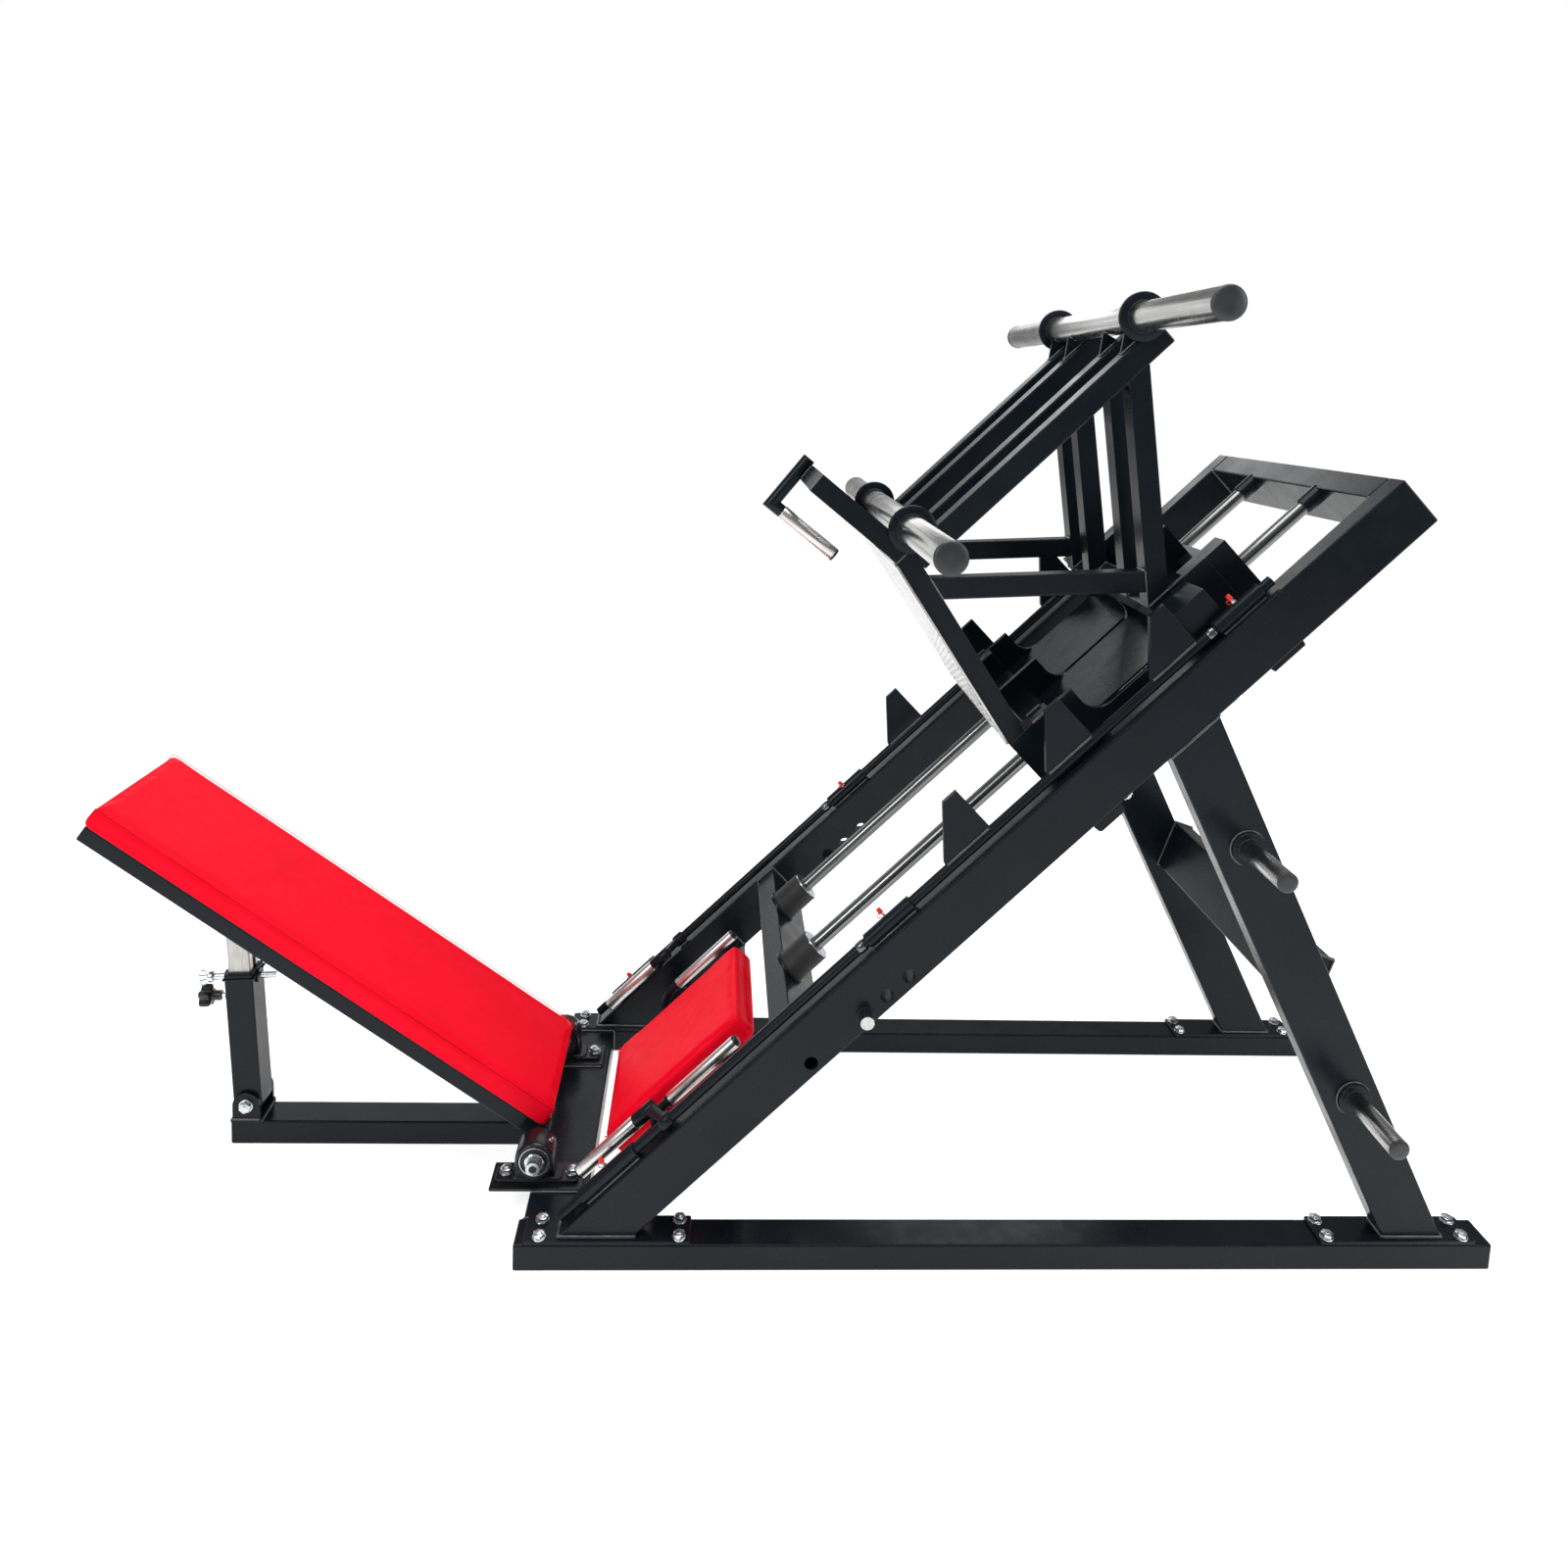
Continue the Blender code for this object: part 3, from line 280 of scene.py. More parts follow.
def lathe(bm, base, axis, profile, seg=32, side=None):
    """Turned shape: profile is (distance along the axis, radius)."""
    axis = Vector(axis).normalized()
    side = (Vector(side) - axis * axis.dot(Vector(side))).normalized() if side else axis.orthogonal().normalized()
    up = axis.cross(side)
    rings = []
    for a, r in profile:
        centre = Vector(base) + axis * a
        if r < 1e-6:
            rings.append([bm.verts.new(centre)])
            continue
        ring = []
        for k in range(seg):
            angle = 2 * math.pi * k / seg
            ring.append(bm.verts.new(centre + side * (r * math.cos(angle)) + up * (r * math.sin(angle))))
        rings.append(ring)
    skin(bm, rings)


def ring_band(bm, base, axis, profile, seg=32):
    """Turned shape with a hole through it; the profile is a closed loop."""
    axis = Vector(axis).normalized()
    side = axis.orthogonal().normalized()
    up = axis.cross(side)
    rings = []
    for a, r in profile:
        centre = Vector(base) + axis * a
        rings.append([bm.verts.new(centre + side * (r * math.cos(2 * math.pi * k / seg))
                                   + up * (r * math.sin(2 * math.pi * k / seg))) for k in range(seg)])
    skin(bm, rings, closed=True)


def rounded(length, r, c):
    """Profile of a solid bar with its end edges rounded by c."""
    return [(0.0, 0.0), (0.0, r - c), (0.3 * c, r - 0.3 * c), (c, r), (length - c, r), (length - 0.3 * c, r - 0.3 * c),
            (length, r - c), (length, 0.0)]


def dome(length, r, steps=8):
    """Profile of a plug with a flat base and a domed end."""
    points = [(0.0, 0.0), (0.0, r)]
    for k in range(1, steps + 1):
        angle = math.pi / 2 * k / steps
        points.append((length * (0.35 + 0.65 * math.sin(angle)), r * max(0.0, math.cos(angle)) ** 0.62))
    points[1] = (0.0, r * 0.995)
    points.insert(2, (length * 0.35, r))
    points[-1] = (length, 0.0)
    return points


def sweep(bm, points, radius, seg=8, closed=False):
    """Round bar along points; radius may be a list, one for each point."""
    pts = [Vector(p) for p in points]
    count = len(pts)
    radii = radius if isinstance(radius, list) else [radius] * count
    side = None
    rings = []
    for i, p in enumerate(pts):
        before = pts[i - 1] if i or closed else p
        after = pts[(i + 1) % count] if i + 1 < count or closed else p
        ahead = (after - before).normalized()
        if side is None:
            side = ahead.orthogonal().normalized()
        side = (side - ahead * side.dot(ahead)).normalized()
        up = ahead.cross(side)
        rings.append([bm.verts.new(p + side * (radii[i] * math.cos(2 * math.pi * k / seg))
                                   + up * (radii[i] * math.sin(2 * math.pi * k / seg))) for k in range(seg)])
    skin(bm, rings, closed)


def resample(points, step, closed=False):
    """Even steps along a polyline."""
    pts = [Vector(p) for p in points]
    if closed:
        pts.append(pts[0])
    lengths = [(b - a).length for a, b in zip(pts, pts[1:])]
    total = sum(lengths)
    count = max(3, round(total / step))
    out = []
    for k in range(count if closed else count + 1):
        want = total * k / count
        i = 0
        while i < len(lengths) - 1 and want > lengths[i]:
            want -= lengths[i]
            i += 1
        out.append(pts[i].lerp(pts[i + 1], min(1.0, want / lengths[i])))
    return out


def circle(centre, r, count, u=Vector((1.0, 0.0, 0.0)), v=UP):
    turns = [2 * math.pi * k / count for k in range(count)]
    return [Vector(centre) + u * (r * math.cos(a)) + v * (r * math.sin(a)) for a in turns]


def weld(bm, points, r=0.0030, pitch=0.0048, closed=False):
    """Weld bead: overlapping scales along a line."""
    path = resample(points, pitch / 4, closed)
    radii = []
    for i in range(len(path)):
        phase = (i / 4.0) % 1.0
        radii.append(r * (0.70 + 0.30 * math.sqrt(max(0.0, 1.0 - phase * phase)) + 0.06 * math.sin(i * 1.7)))
    if not closed:
        radii[0] = radii[-1] = r * 0.4
    sweep(bm, path, radii, 7, closed)


def slab(bm, outline, y0, y1, round_by=0.0, segments=2):
    """Outline in X and Z drawn out along Y, with its edges rounded."""
    first = [bm.verts.new((x, y0, z)) for x, z in outline]
    last = [bm.verts.new((x, y1, z)) for x, z in outline]
    faces = [bm.faces.new(first), bm.faces.new(last)]
    for k in range(len(first)):
        j = (k + 1) % len(first)
        faces.append(bm.faces.new((first[k], first[j], last[j], last[k])))
    if round_by:
        bmesh.ops.recalc_face_normals(bm, faces=faces)
        edges = [e for e in {e for f in faces for e in f.edges} if e.calc_face_angle(0.0) > math.radians(25)]
        bmesh.ops.bevel(bm, geom=edges, offset=round_by, segments=segments, profile=0.6, affect="EDGES",
                        clamp_overlap=True)


def flat_block(bm, centre, u, v, half_u, half_v, depth, corner, round_by=0.0008):
    """Plate with rounded corners: u and v span it, and it rises by depth along their cross product."""
    u, v = Vector(u).normalized(), Vector(v).normalized()
    w = u.cross(v)
    outline = []
    for su, sv, start in ((1, 1, 0), (-1, 1, 90), (-1, -1, 180), (1, -1, 270)):
        for step in range(5):
            angle = math.radians(start + 22.5 * step)
            outline.append((su * (half_u - corner) + corner * math.cos(angle),
                            sv * (half_v - corner) + corner * math.sin(angle)))
    levels = ((0.0, round_by), (round_by, 0.0), (depth - round_by, 0.0), (depth, round_by))
    rings = []
    for height, inset in levels:
        ring = []
        for a, b in outline:
            ring.append(bm.verts.new(Vector(centre) + u * (a * (1 - inset / half_u)) + v * (b * (1 - inset / half_v))
                                     + w * height))
        rings.append(ring)
    skin(bm, rings)


def hex_head(bm, base, axis, r=0.0102, height=0.0078, side=(1.0, 0.2, 0.0), stud=0.0050, proud=0.0022):
    """Hexagon with its top corners turned off, and a stud end above it."""
    chamfer = r * 0.14
    lathe(bm, base, axis, [(0.0, 0.0), (0.0, r * 0.97), (0.0006, r), (height - chamfer * 0.6, r),
                           (height, r - chamfer), (height, 0.0)], 6, side)
    if stud:
        top = Vector(base) + Vector(axis).normalized() * (height - 0.0002)
        lathe(bm, top, axis, [(0.0, 0.0), (0.0, stud * 1.35), (0.0008, stud * 1.3), (0.0012, stud),
                              (proud, stud * 0.96), (proud + 0.0006, stud * 0.7), (proud + 0.0006, 0.0)], 20)


def washer(bm, base, axis, r=0.0116, bore=0.0055, t=0.0020):
    ring_band(bm, base, axis, [(0.0, bore), (0.0, r - 0.0003), (0.0004, r), (t - 0.0004, r), (t, r - 0.0004),
                               (t, bore)], 28)


def bolt_set(bm, base, axis, r=0.0102, height=0.0078, turn=0.0):
    """Washer, hexagon and stud end on a face."""
    axis = Vector(axis).normalized()
    washer(bm, base, axis, r * 1.13)
    side = axis.orthogonal().normalized()
    side = side * math.cos(turn) + axis.cross(side) * math.sin(turn)
    hex_head(bm, Vector(base) + axis * 0.0019, axis, r, height, side)


# ---------------------------------------------------------------- carried-over CAD nodes
CAD_FINISH = {"guide_rod": ROD, "prop_inner_tube": BARE, "stop_pin": HORN, "backrest_axle": ZINC, "hitch_pin": ZINC,
              "lower_bumper": RUBBER, "star_knob": KNOB}
for node_name, node in NODES.items():
    finish_of = next((m for key, m in CAD_FINISH.items() if node_name.startswith(key)), POWDER)
    if not node.material_slots:
        node.data.materials.append(finish_of)
    for material_slot in node.material_slots:
        material_slot.material = finish_of


# ---------------------------------------------------------------- pads
CLOTH_FRAMES = 20
SWELL_ACROSS, SWELL_UP = 0.0030, 0.0048


def settled(obj):
    """The mesh that obj's modifiers make, with nothing left on it."""
    done = bpy.data.meshes.new_from_object(obj.evaluated_get(bpy.context.evaluated_depsgraph_get()))
    obj.modifiers.clear()
    obj.data = done
    return done


def rectangle(length, width, inset, corner):
    """Rounded rectangle, lying from 0 to length and centred across."""
    points = []
    centres = ((length - inset - corner, width / 2 - inset - corner, 0),
               (inset + corner, width / 2 - inset - corner, 90),
               (inset + corner, -width / 2 + inset + corner, 180),
               (length - inset - corner, -width / 2 + inset + corner, 270))
    for cu, cw, start in centres:
        for step in range(7):
            angle = math.radians(start + 15 * step)
            points.append((cu + corner * math.cos(angle), cw + corner * math.sin(angle)))
    return points


def off_seam(u, w, length, width, inset, corner):
    """Distance of a point from the seam's rounded rectangle."""
    du = abs(u - length / 2) - (length / 2 - inset - corner)
    dw = abs(w) - (width / 2 - inset - corner)
    outside = math.hypot(max(du, 0.0), max(dw, 0.0))
    return abs(outside + min(max(du, dw), 0.0) - corner)


def cushion(name, node, body, place, length, width, thick, floor, inset=0.0052):
    """Vinyl over foam on a board: a blown form with its top seam, stitches and board."""
    gap, corner = 0.0034, 0.010
    bm = bmesh.new()
    levels = ((floor, 0.005), (floor + 0.004, 0.0008), (thick - 0.0080, 0.0), (thick - 0.0045, 0.0012),
              (thick - 0.0028, 0.0042))
    rings = []
    for height, tuck in levels:
        outline = rectangle(length, width, gap + tuck, corner)
        rings.append([bm.verts.new((u, w, height)) for u, w in outline])
    skin(bm, rings)
    bmesh.ops.recalc_face_normals(bm, faces=bm.faces)
    mesh = bpy.data.meshes.new(name)
    bm.to_mesh(mesh)
    bm.free()
    obj = bpy.data.objects.new(name, mesh)
    bpy.context.scene.collection.objects.link(obj)
    remesh = obj.modifiers.new("remesh", "REMESH")
    remesh.mode = "VOXEL"
    remesh.voxel_size = 0.0045
    mesh = settled(obj)
    start = [v.co.copy() for v in mesh.vertices]
    pinned = obj.vertex_groups.new(name="board")
    pinned.add([v.index for v in mesh.vertices if v.co.z < floor + 0.004], 1.0, "REPLACE")
    cloth = obj.modifiers.new("cloth", "CLOTH")
    cloth.settings.quality = 4
    cloth.settings.mass = 0.3
    cloth.settings.use_pressure = True
    cloth.settings.uniform_pressure_force = 4.0
    cloth.settings.vertex_group_mass = "board"
    cloth.settings.effector_weights.gravity = 0.0
    cloth.collision_settings.use_collision = False
    cloth.point_cache.frame_start = 1
    cloth.point_cache.frame_end = CLOTH_FRAMES
    for number in range(1, CLOTH_FRAMES + 1):
        bpy.context.scene.frame_set(number)
    mesh = settled(obj)
    bpy.context.scene.frame_set(1)
    for vertex, old in zip(mesh.vertices, start):
        moved = vertex.co - old
        moved.x = max(-SWELL_ACROSS, min(SWELL_ACROSS, moved.x))
        moved.y = max(-SWELL_ACROSS, min(SWELL_ACROSS, moved.y))
        moved.z = max(0.0, min(SWELL_UP, moved.z))
        vertex.co = old + moved
    finer = obj.modifiers.new("finer", "SUBSURF")
    finer.levels = finer.render_levels = 1
    mesh = settled(obj)
    seam = BVHTree.FromPolygons([v.co for v in mesh.vertices], [p.vertices[:] for p in mesh.polygons])
    for vertex in mesh.vertices:
        if vertex.co.z > thick * 0.6:
            away = off_seam(vertex.co.x, vertex.co.y, length, width, inset, 0.010)
            vertex.co.z -= 0.0021 * math.exp(-(away / 0.0019) ** 2)
        vertex.co.z = max(vertex.co.z, floor)

    def on_top(u, w, lift):
        hit = seam.ray_cast(Vector((u, w, thick + 0.05)), Vector((0.0, 0.0, -1.0)))[0]
        return Vector((u, w, (hit.z if hit else thick - 0.002) + lift))

    line = resample([(u, w, 0.0) for u, w in rectangle(length, width, inset, 0.010)], 0.004, True)
    cord = bmesh.new()
    sweep(cord, [place @ on_top(p.x, p.y, -0.0008) for p in line], 0.0008, 7, True)
    inner = resample([(u, w, 0.0) for u, w in rectangle(length, width, inset + 0.0042, 0.008)], 0.0046, True)
    stitches = bmesh.new()
    for a, b in zip(inner, inner[1:] + inner[:1]):
        way = (b - a) * 0.31
        mid = (a + b) / 2
        ends = [mid - way, mid - way * 0.6, mid + way * 0.6, mid + way]
        lifts = (-0.0004, 0.00015, 0.00015, -0.0004)
        sweep(stitches, [place @ on_top(p.x, p.y, lift) for p, lift in zip(ends, lifts)], 0.00042, 5)
    mesh.transform(place)
    mesh.materials.clear()
    mesh.materials.append(VINYL)
    mesh.polygons.foreach_set("use_smooth", [True] * len(mesh.polygons))
    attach(obj, body)
    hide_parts(node)
    piece(f"{name}_seam", cord, THREAD, body)
    piece(f"{name}_stitches", stitches, THREAD, body)
    board = bmesh.new()
    flat_block(board, place @ Vector((length / 2, 0.0, 0.0004)), place.to_3x3() @ Vector((1.0, 0.0, 0.0)),
               place.to_3x3() @ Vector((0.0, 1.0, 0.0)), length / 2 - 0.010, width / 2 - 0.010, floor, 0.012)
    piece(f"{name}_board", board, BOARD, body)


def basis(origin, u, w, h):
    """Transform from a pad's length, width and height to the machine's frame."""
    turn = Matrix((u, w, h)).transposed().to_4x4()
    return Matrix.Translation(origin) @ turn


REST_U = Vector((-math.cos(REST_ANGLE), 0.0, math.sin(REST_ANGLE)))
REST_H = Vector((math.sin(REST_ANGLE), 0.0, math.cos(REST_ANGLE)))
cushion("backrest_cushion", "backrest_pad", "backrest", basis(rest(0.0, -PAD_T), REST_U, -ACROSS, REST_H),
        REST_LEN, 0.300, PAD_T, 0.0022)
cushion("seat_cushion", "seat_pad", "frame", basis(inc(-0.055, 0.1300), SLOPE, ACROSS, NORMAL),
        0.340, 0.290, 0.050, 0.0022)


# ---------------------------------------------------------------- base: plates, bolts and caps
def foot_plates():
    """Plates under the beams and legs, each with four bolts."""
    for place, x0, x1, bolts in (("front", -0.4185, -0.1465, (-0.3931, -0.1654)),
                                 ("rear", 0.913, 1.183, (0.9273, 1.1624))):
        for tag, side in SIDES:
            bm = bmesh.new()
            flat_block(bm, ((x0 + x1) / 2, side * 0.314, 0.0463), (1, 0, 0), (0, 1, 0), (x1 - x0) / 2, 0.031,
                       0.0057, 0.0035, 0.0009)
            piece(f"plate_{place}_{tag}", bm, POWDER, "frame", stands_for=(f"foot_plate_{place}_{tag}",))
            zinc = bmesh.new()
            for i, x in enumerate(bolts):
                for j, y in enumerate((0.2951, 0.3338)):
                    bolt_set(zinc, (x, side * y, FOOT_TOP), UP, 0.0100, 0.0070, 0.3 + i + 0.7 * j)
            piece(f"plate_bolts_{place}_{tag}", zinc, ZINC, "frame")


def pillow_blocks():
    """Bearing housings of the backrest axle, with their seals, races and bolts."""
    x, z = PIVOT
    base = 0.0463
    for tag, side in SIDES:
        out = ACROSS * side
        mid = side * 0.185
        bm = bmesh.new()
        flat_block(bm, (x + 0.0035, mid, base), (1, 0, 0), (0, 1, 0), 0.0795, 0.035, 0.0052, 0.002)
        for half, height, lift in ((0.0725, 0.0070, 0.0050), (0.0445, 0.0045, 0.0115)):
            flat_block(bm, (x + 0.0035, mid, base + lift), (1, 0, 0), (0, 1, 0), half, 0.022, height, 0.010, 0.0016)
        slab(bm, [(x - 0.036, base + 0.012), (x + 0.036, base + 0.012), (x + 0.031, z), (x - 0.031, z)],
             mid - 0.019, mid + 0.019, 0.003)
        ring_band(bm, (x, mid, z), out, [(-0.0245, 0.0262), (-0.0250, 0.0310), (-0.0225, 0.0336), (-0.0180, 0.0345),
                                         (0.0180, 0.0345), (0.0225, 0.0336), (0.0250, 0.0310), (0.0245, 0.0262)],
                  56)
        piece(f"block_housing_{tag}", bm, CAST, "frame", stands_for=(f"pillow_block_{tag}",))
        race = bmesh.new()
        ring_band(race, (x, mid, z), out, [(-0.0215, 0.0150), (-0.0215, 0.0262), (-0.0195, 0.0268),
                                           (0.0195, 0.0268), (0.0215, 0.0262), (0.0215, 0.0150)], 40)
        piece(f"block_seal_{tag}", race, RUBBER, "frame")
        inner = bmesh.new()
        ring_band(inner, (x, mid, z), out, [(-0.0240, 0.0124), (-0.0240, 0.0170), (0.0265, 0.0170),
                                            (0.0280, 0.0155), (0.0280, 0.0124)], 36)
        ring_band(inner, (x, mid, z), out, [(0.0210, 0.0238), (0.0210, 0.0264), (0.0240, 0.0264),
                                            (0.0240, 0.0250)], 48)
        hex_head(inner, (x + 0.0220, mid, z + 0.0225), (0.7, 0, 0.72), 0.0040, 0.0045, stud=0.0022, proud=0.005)
        for bx in (x - 0.051, x + 0.064):
            bolt_set(inner, (bx, mid, base + 0.0120), UP, 0.0106, 0.0080, 0.4)
        hex_head(inner, (x - 0.051, mid, base - 0.0002), -UP, 0.0104, 0.0080, stud=0.0052, proud=0.0030)
        piece(f"block_metal_{tag}", inner, ZINC, "frame")
        plug = bmesh.new()
        lathe(plug, (x, side * 0.2279, z), out, [(0.0, 0.0), (0.0, 0.0068), (0.0004, 0.0066), (0.0004, 0.0)], 24)
        piece(f"axle_centre_{tag}", plug, KNOB, "backrest")


def base_welds():
    """Weld beads of the fixed frame."""
    bm = bmesh.new()
    top = FOOT_TOP + 0.0006
    for side in (-1, 1):
        for x0, x1 in ((-0.3633, -0.2394), (1.0242, 1.1278)):
            y0, y1 = side * BEAM_IN, side * BEAM_OUT
            weld(bm, [(x0, y0, top), (x1, y0, top), (x1, y1, top), (x0, y1, top)], 0.0036, closed=True)
        yo, yi = side * (BEAM_OUT + 0.0002), side * (BEAM_IN - 0.0002)
        for y in (yo, yi):
            weld(bm, [inc(1.1455, 0.1018, y), inc(1.2455, 0.1018, y)], 0.0026)
        for s in (1.1452, 1.2461):
            weld(bm, [inc(s, 0.1016, side * (BEAM_IN + 0.002)), inc(s, 0.1016, side * (BEAM_OUT - 0.002))], 0.0030)
        ye = side * 0.2915
        for s0, s1, n0, n1 in ((0.3565, 0.402, BEAM_N0, BEAM_N1), (0.03, 0.08, 0.103, 0.129),
                               (0.20, 0.24, 0.103, 0.129)):
            weld(bm, [inc(s0, n0, ye), inc(s1, n0, ye), inc(s1, n1, ye), inc(s0, n1, ye)], 0.0026, closed=True)
        weld(bm, [inc(1.6560, BEAM_N1, ye), inc(1.6560, BEAM_N0, ye)], 0.0026)
        brace = ((0.8446, 0.4428), (0.8767, 0.5386), (0.9146, 0.5259), (0.8825, 0.4301))
        weld(bm, [(x, ye, z) for x, z in brace], 0.0028, closed=True)
        weld(bm, [(-0.426, side * 0.2828, 0.0464), (-0.326, side * 0.2828, 0.0464)], 0.0026)
        weld(bm, [(-0.3258, side * 0.2828, 0.0464), (-0.3258, side * 0.2828, 0.003)], 0.0024)
        weld(bm, [(-0.4262, side * 0.2828, 0.0464), (-0.4262, side * 0.2828, 0.003)], 0.0024)
        weld(bm, [(-0.4263, side * 0.0312, 0.003), (-0.4263, side * 0.0312, 0.046)], 0.0024)
        weld(bm, [(-0.424, side * 0.1490, 0.0470), (-0.340, side * 0.1490, 0.0470)], 0.0022)
        weld(bm, [(-0.424, side * 0.2210, 0.0470), (-0.340, side * 0.2210, 0.0470)], 0.0028)
        for s0, s1 in ((-0.048, 0.068), (0.588, 0.680), (1.338, 1.426)):
            for y in (SHAFT_Y - 0.0075, SHAFT_Y + 0.0075):
                weld(bm, [inc(s0, 0.1910, side * y), inc(s1, 0.1910, side * y)], 0.0026)
        for n_x, n_z in ((0.727, 0.736), (0.947, 0.305)):
            weld(bm, circle((n_x, side * (BEAM_OUT + 0.0004), n_z), 0.0285, 28), 0.0018, closed=True)
    weld(bm, [(-0.4263, -0.031, 0.0463), (-0.4263, 0.031, 0.0463)], 0.0026)
    piece("frame_welds", bm, BEAD, "frame", 60.0)


def prop_parts():
    """Clevis bolt and welds, the sleeve's bosses and mouth band, and the hitch pin's ring."""
    x, z = PROP_BASE
    zinc = bmesh.new()
    for side in (-1, 1):
        washer(zinc, (x, side * 0.0344, z), ACROSS * side, 0.0128, 0.005, 0.0020)
        hex_head(zinc, (x, side * 0.0360, z), ACROSS * side, 0.0108, 0.0074, (0.2, 0.0, 1.0))
    piece("clevis_bolt", zinc, ZINC, "frame")
    black = bmesh.new()
    for side in (-1, 1):
        weld(black, [(x - 0.025, side * 0.0350, 0.0525), (x + 0.025, side * 0.0350, 0.0525)], 0.0022)
    weld(black, [(x - 0.0282, -0.033, 0.0475), (x - 0.0282, 0.033, 0.0475)], 0.0022)
    weld(black, [(x + 0.0282, -0.033, 0.0475), (x + 0.0282, 0.033, 0.0475)], 0.0022)
    piece("clevis_welds", black, BEAD, "frame", 60.0)
    boss = bmesh.new()
    out = (prop(0.0, -1.0) - prop(0.0, 0.0)).normalized()
    along = (prop(1.0, 0.0) - prop(0.0, 0.0)).normalized()
    for a, r in ((0.2387, 0.0125), (0.2016, 0.0120)):
        ring_band(boss, prop(a, -0.0255), out, [(0.0, 0.0066), (0.0, r), (0.0060, r), (0.0070, r - 0.001),
                                                (0.0070, 0.0066)], 28)
    ring_band(boss, prop(0.2387, 0.0255), -out, [(0.0, 0.0066), (0.0, 0.0125), (0.0040, 0.0125), (0.0040, 0.0066)], 28)
    piece("prop_bosses", boss, POWDER, "prop_outer")
    mouth = bmesh.new()
    corners = [prop(0.2450, b, y) for b, y in ((-0.0268, -0.0293), (0.0268, -0.0293), (0.0268, 0.0293),
                                               (-0.0268, 0.0293))]
    sweep(mouth, resample(corners, 0.004, True), 0.0018, 8, True)
    piece("prop_mouth_band", mouth, POWDER, "prop_outer")
    ring = bmesh.new()
    head = prop(0.2387, -0.0590)
    lathe(ring, prop(0.2387, -0.0540), out, rounded(0.0090, 0.0104, 0.0012), 28)
    loop = []
    for k in range(25):
        angle = math.radians(-160 + 320 * k / 24)
        loop.append(head + out * (0.0075 + 0.0135 * (1 - math.cos(angle)) * 0.5)
                    + along * (0.0150 * math.sin(angle)) + ACROSS * (-0.004 + 0.0010 * math.cos(angle)))
    sweep(ring, [head + along * -0.003] + loop + [head + along * 0.003], 0.0014, 8)
    piece("hitch_ring", ring, ZINC, "hitch")


def star_knob():
    """Five-lobed knob with rounded lobes, a hub and a steel stud."""
    out = (prop(0.0, -1.0) - prop(0.0, 0.0)).normalized()
    upright = ACROSS.cross(out)
    base = prop(0.2016, -0.0440)
    bm = bmesh.new()
    levels = [(0.000, 0.0), (0.000, 0.52), (0.009, 0.50), (0.0155, 0.56), (0.0170, 0.90), (0.0190, 0.985),
              (0.0260, 1.0), (0.0325, 0.985), (0.0355, 0.90), (0.0366, 0.62), (0.0350, 0.40), (0.0350, 0.0)]
    rings = []
    for a, share in levels:
        if share == 0.0:
            rings.append([bm.verts.new(base + out * a)])
            continue
        ring = []
        for k in range(60):
            angle = 2 * math.pi * k / 60
            lobe = 0.0180 + 0.0033 * math.cos(5 * angle) * min(1.0, max(0.0, (share - 0.55) * 3.0))
            ring.append(bm.verts.new(base + out * a + ACROSS * (lobe * share * math.cos(angle))
                                     + upright * (lobe * share * math.sin(angle))))
        rings.append(ring)
    skin(bm, rings)
    piece("knob_head", bm, KNOB, "knob", 50.0, stands_for=("star_knob",))
    stud = bmesh.new()
    lathe(stud, prop(0.2016, -0.0262), out, rounded(0.0200, 0.0050, 0.0006), 20)
    lathe(stud, base + out * 0.0348, out, [(0.0, 0.0), (0.0, 0.0060), (0.0006, 0.0055), (0.0012, 0.0)], 20)
    piece("knob_stud", stud, ZINC, "knob")


# ---------------------------------------------------------------- slope: shafts, grips, pegs, bumpers
def peg(name, node, x, z, side):
    """Storage peg: bare bar, domed cap and welded collar."""
    out = ACROSS * side
    bm = bmesh.new()
    lathe(bm, (x, side * 0.3400, z), out, rounded(0.1245, 0.0160, 0.0010), 36)
    piece(f"{name}_bar", bm, HORN, "frame", stands_for=(node,))
    cap = bmesh.new()
    lathe(cap, (x, side * 0.4640, z), out, dome(0.0060, 0.0163), 36)
    piece(f"{name}_cap", cap, CAP, "frame")
    collar = bmesh.new()
    ring_band(collar, (x, side * (BEAM_OUT + 0.0003), z), out,
              [(0.0, 0.0150), (0.0, 0.0280), (0.0068, 0.0280), (0.0080, 0.0270), (0.0080, 0.0150)], 40)
    weld(collar, circle((x, side * 0.3424, z), 0.0168, 24), 0.0020, 0.0042, True)
    piece(f"{name}_collar", collar, POWDER, "frame", 50.0)


def nipple(steel, red, base, axis):
    """Grease nipple with a red cap on it."""
    axis = Vector(axis).normalized()
    hex_head(steel, base, axis, 0.0042, 0.0040, stud=0.0022, proud=0.0040)
    lathe(red, Vector(base) + axis * 0.0058, axis, [(0.0, 0.0), (0.0, 0.0040), (0.0030, 0.0046), (0.0055, 0.0040),
                                                     (0.0085, 0.0042), (0.0100, 0.0032), (0.0104, 0.0)], 18)
    strap = Vector(base) + axis * 0.0075
    lean = (axis.cross(ACROSS)).normalized()
    sweep(red, [strap + lean * 0.004, strap + lean * 0.0085 + axis * 0.001, strap + lean * 0.0090 - axis * 0.004,
                strap + lean * 0.0045 - axis * 0.006], 0.0009, 6)


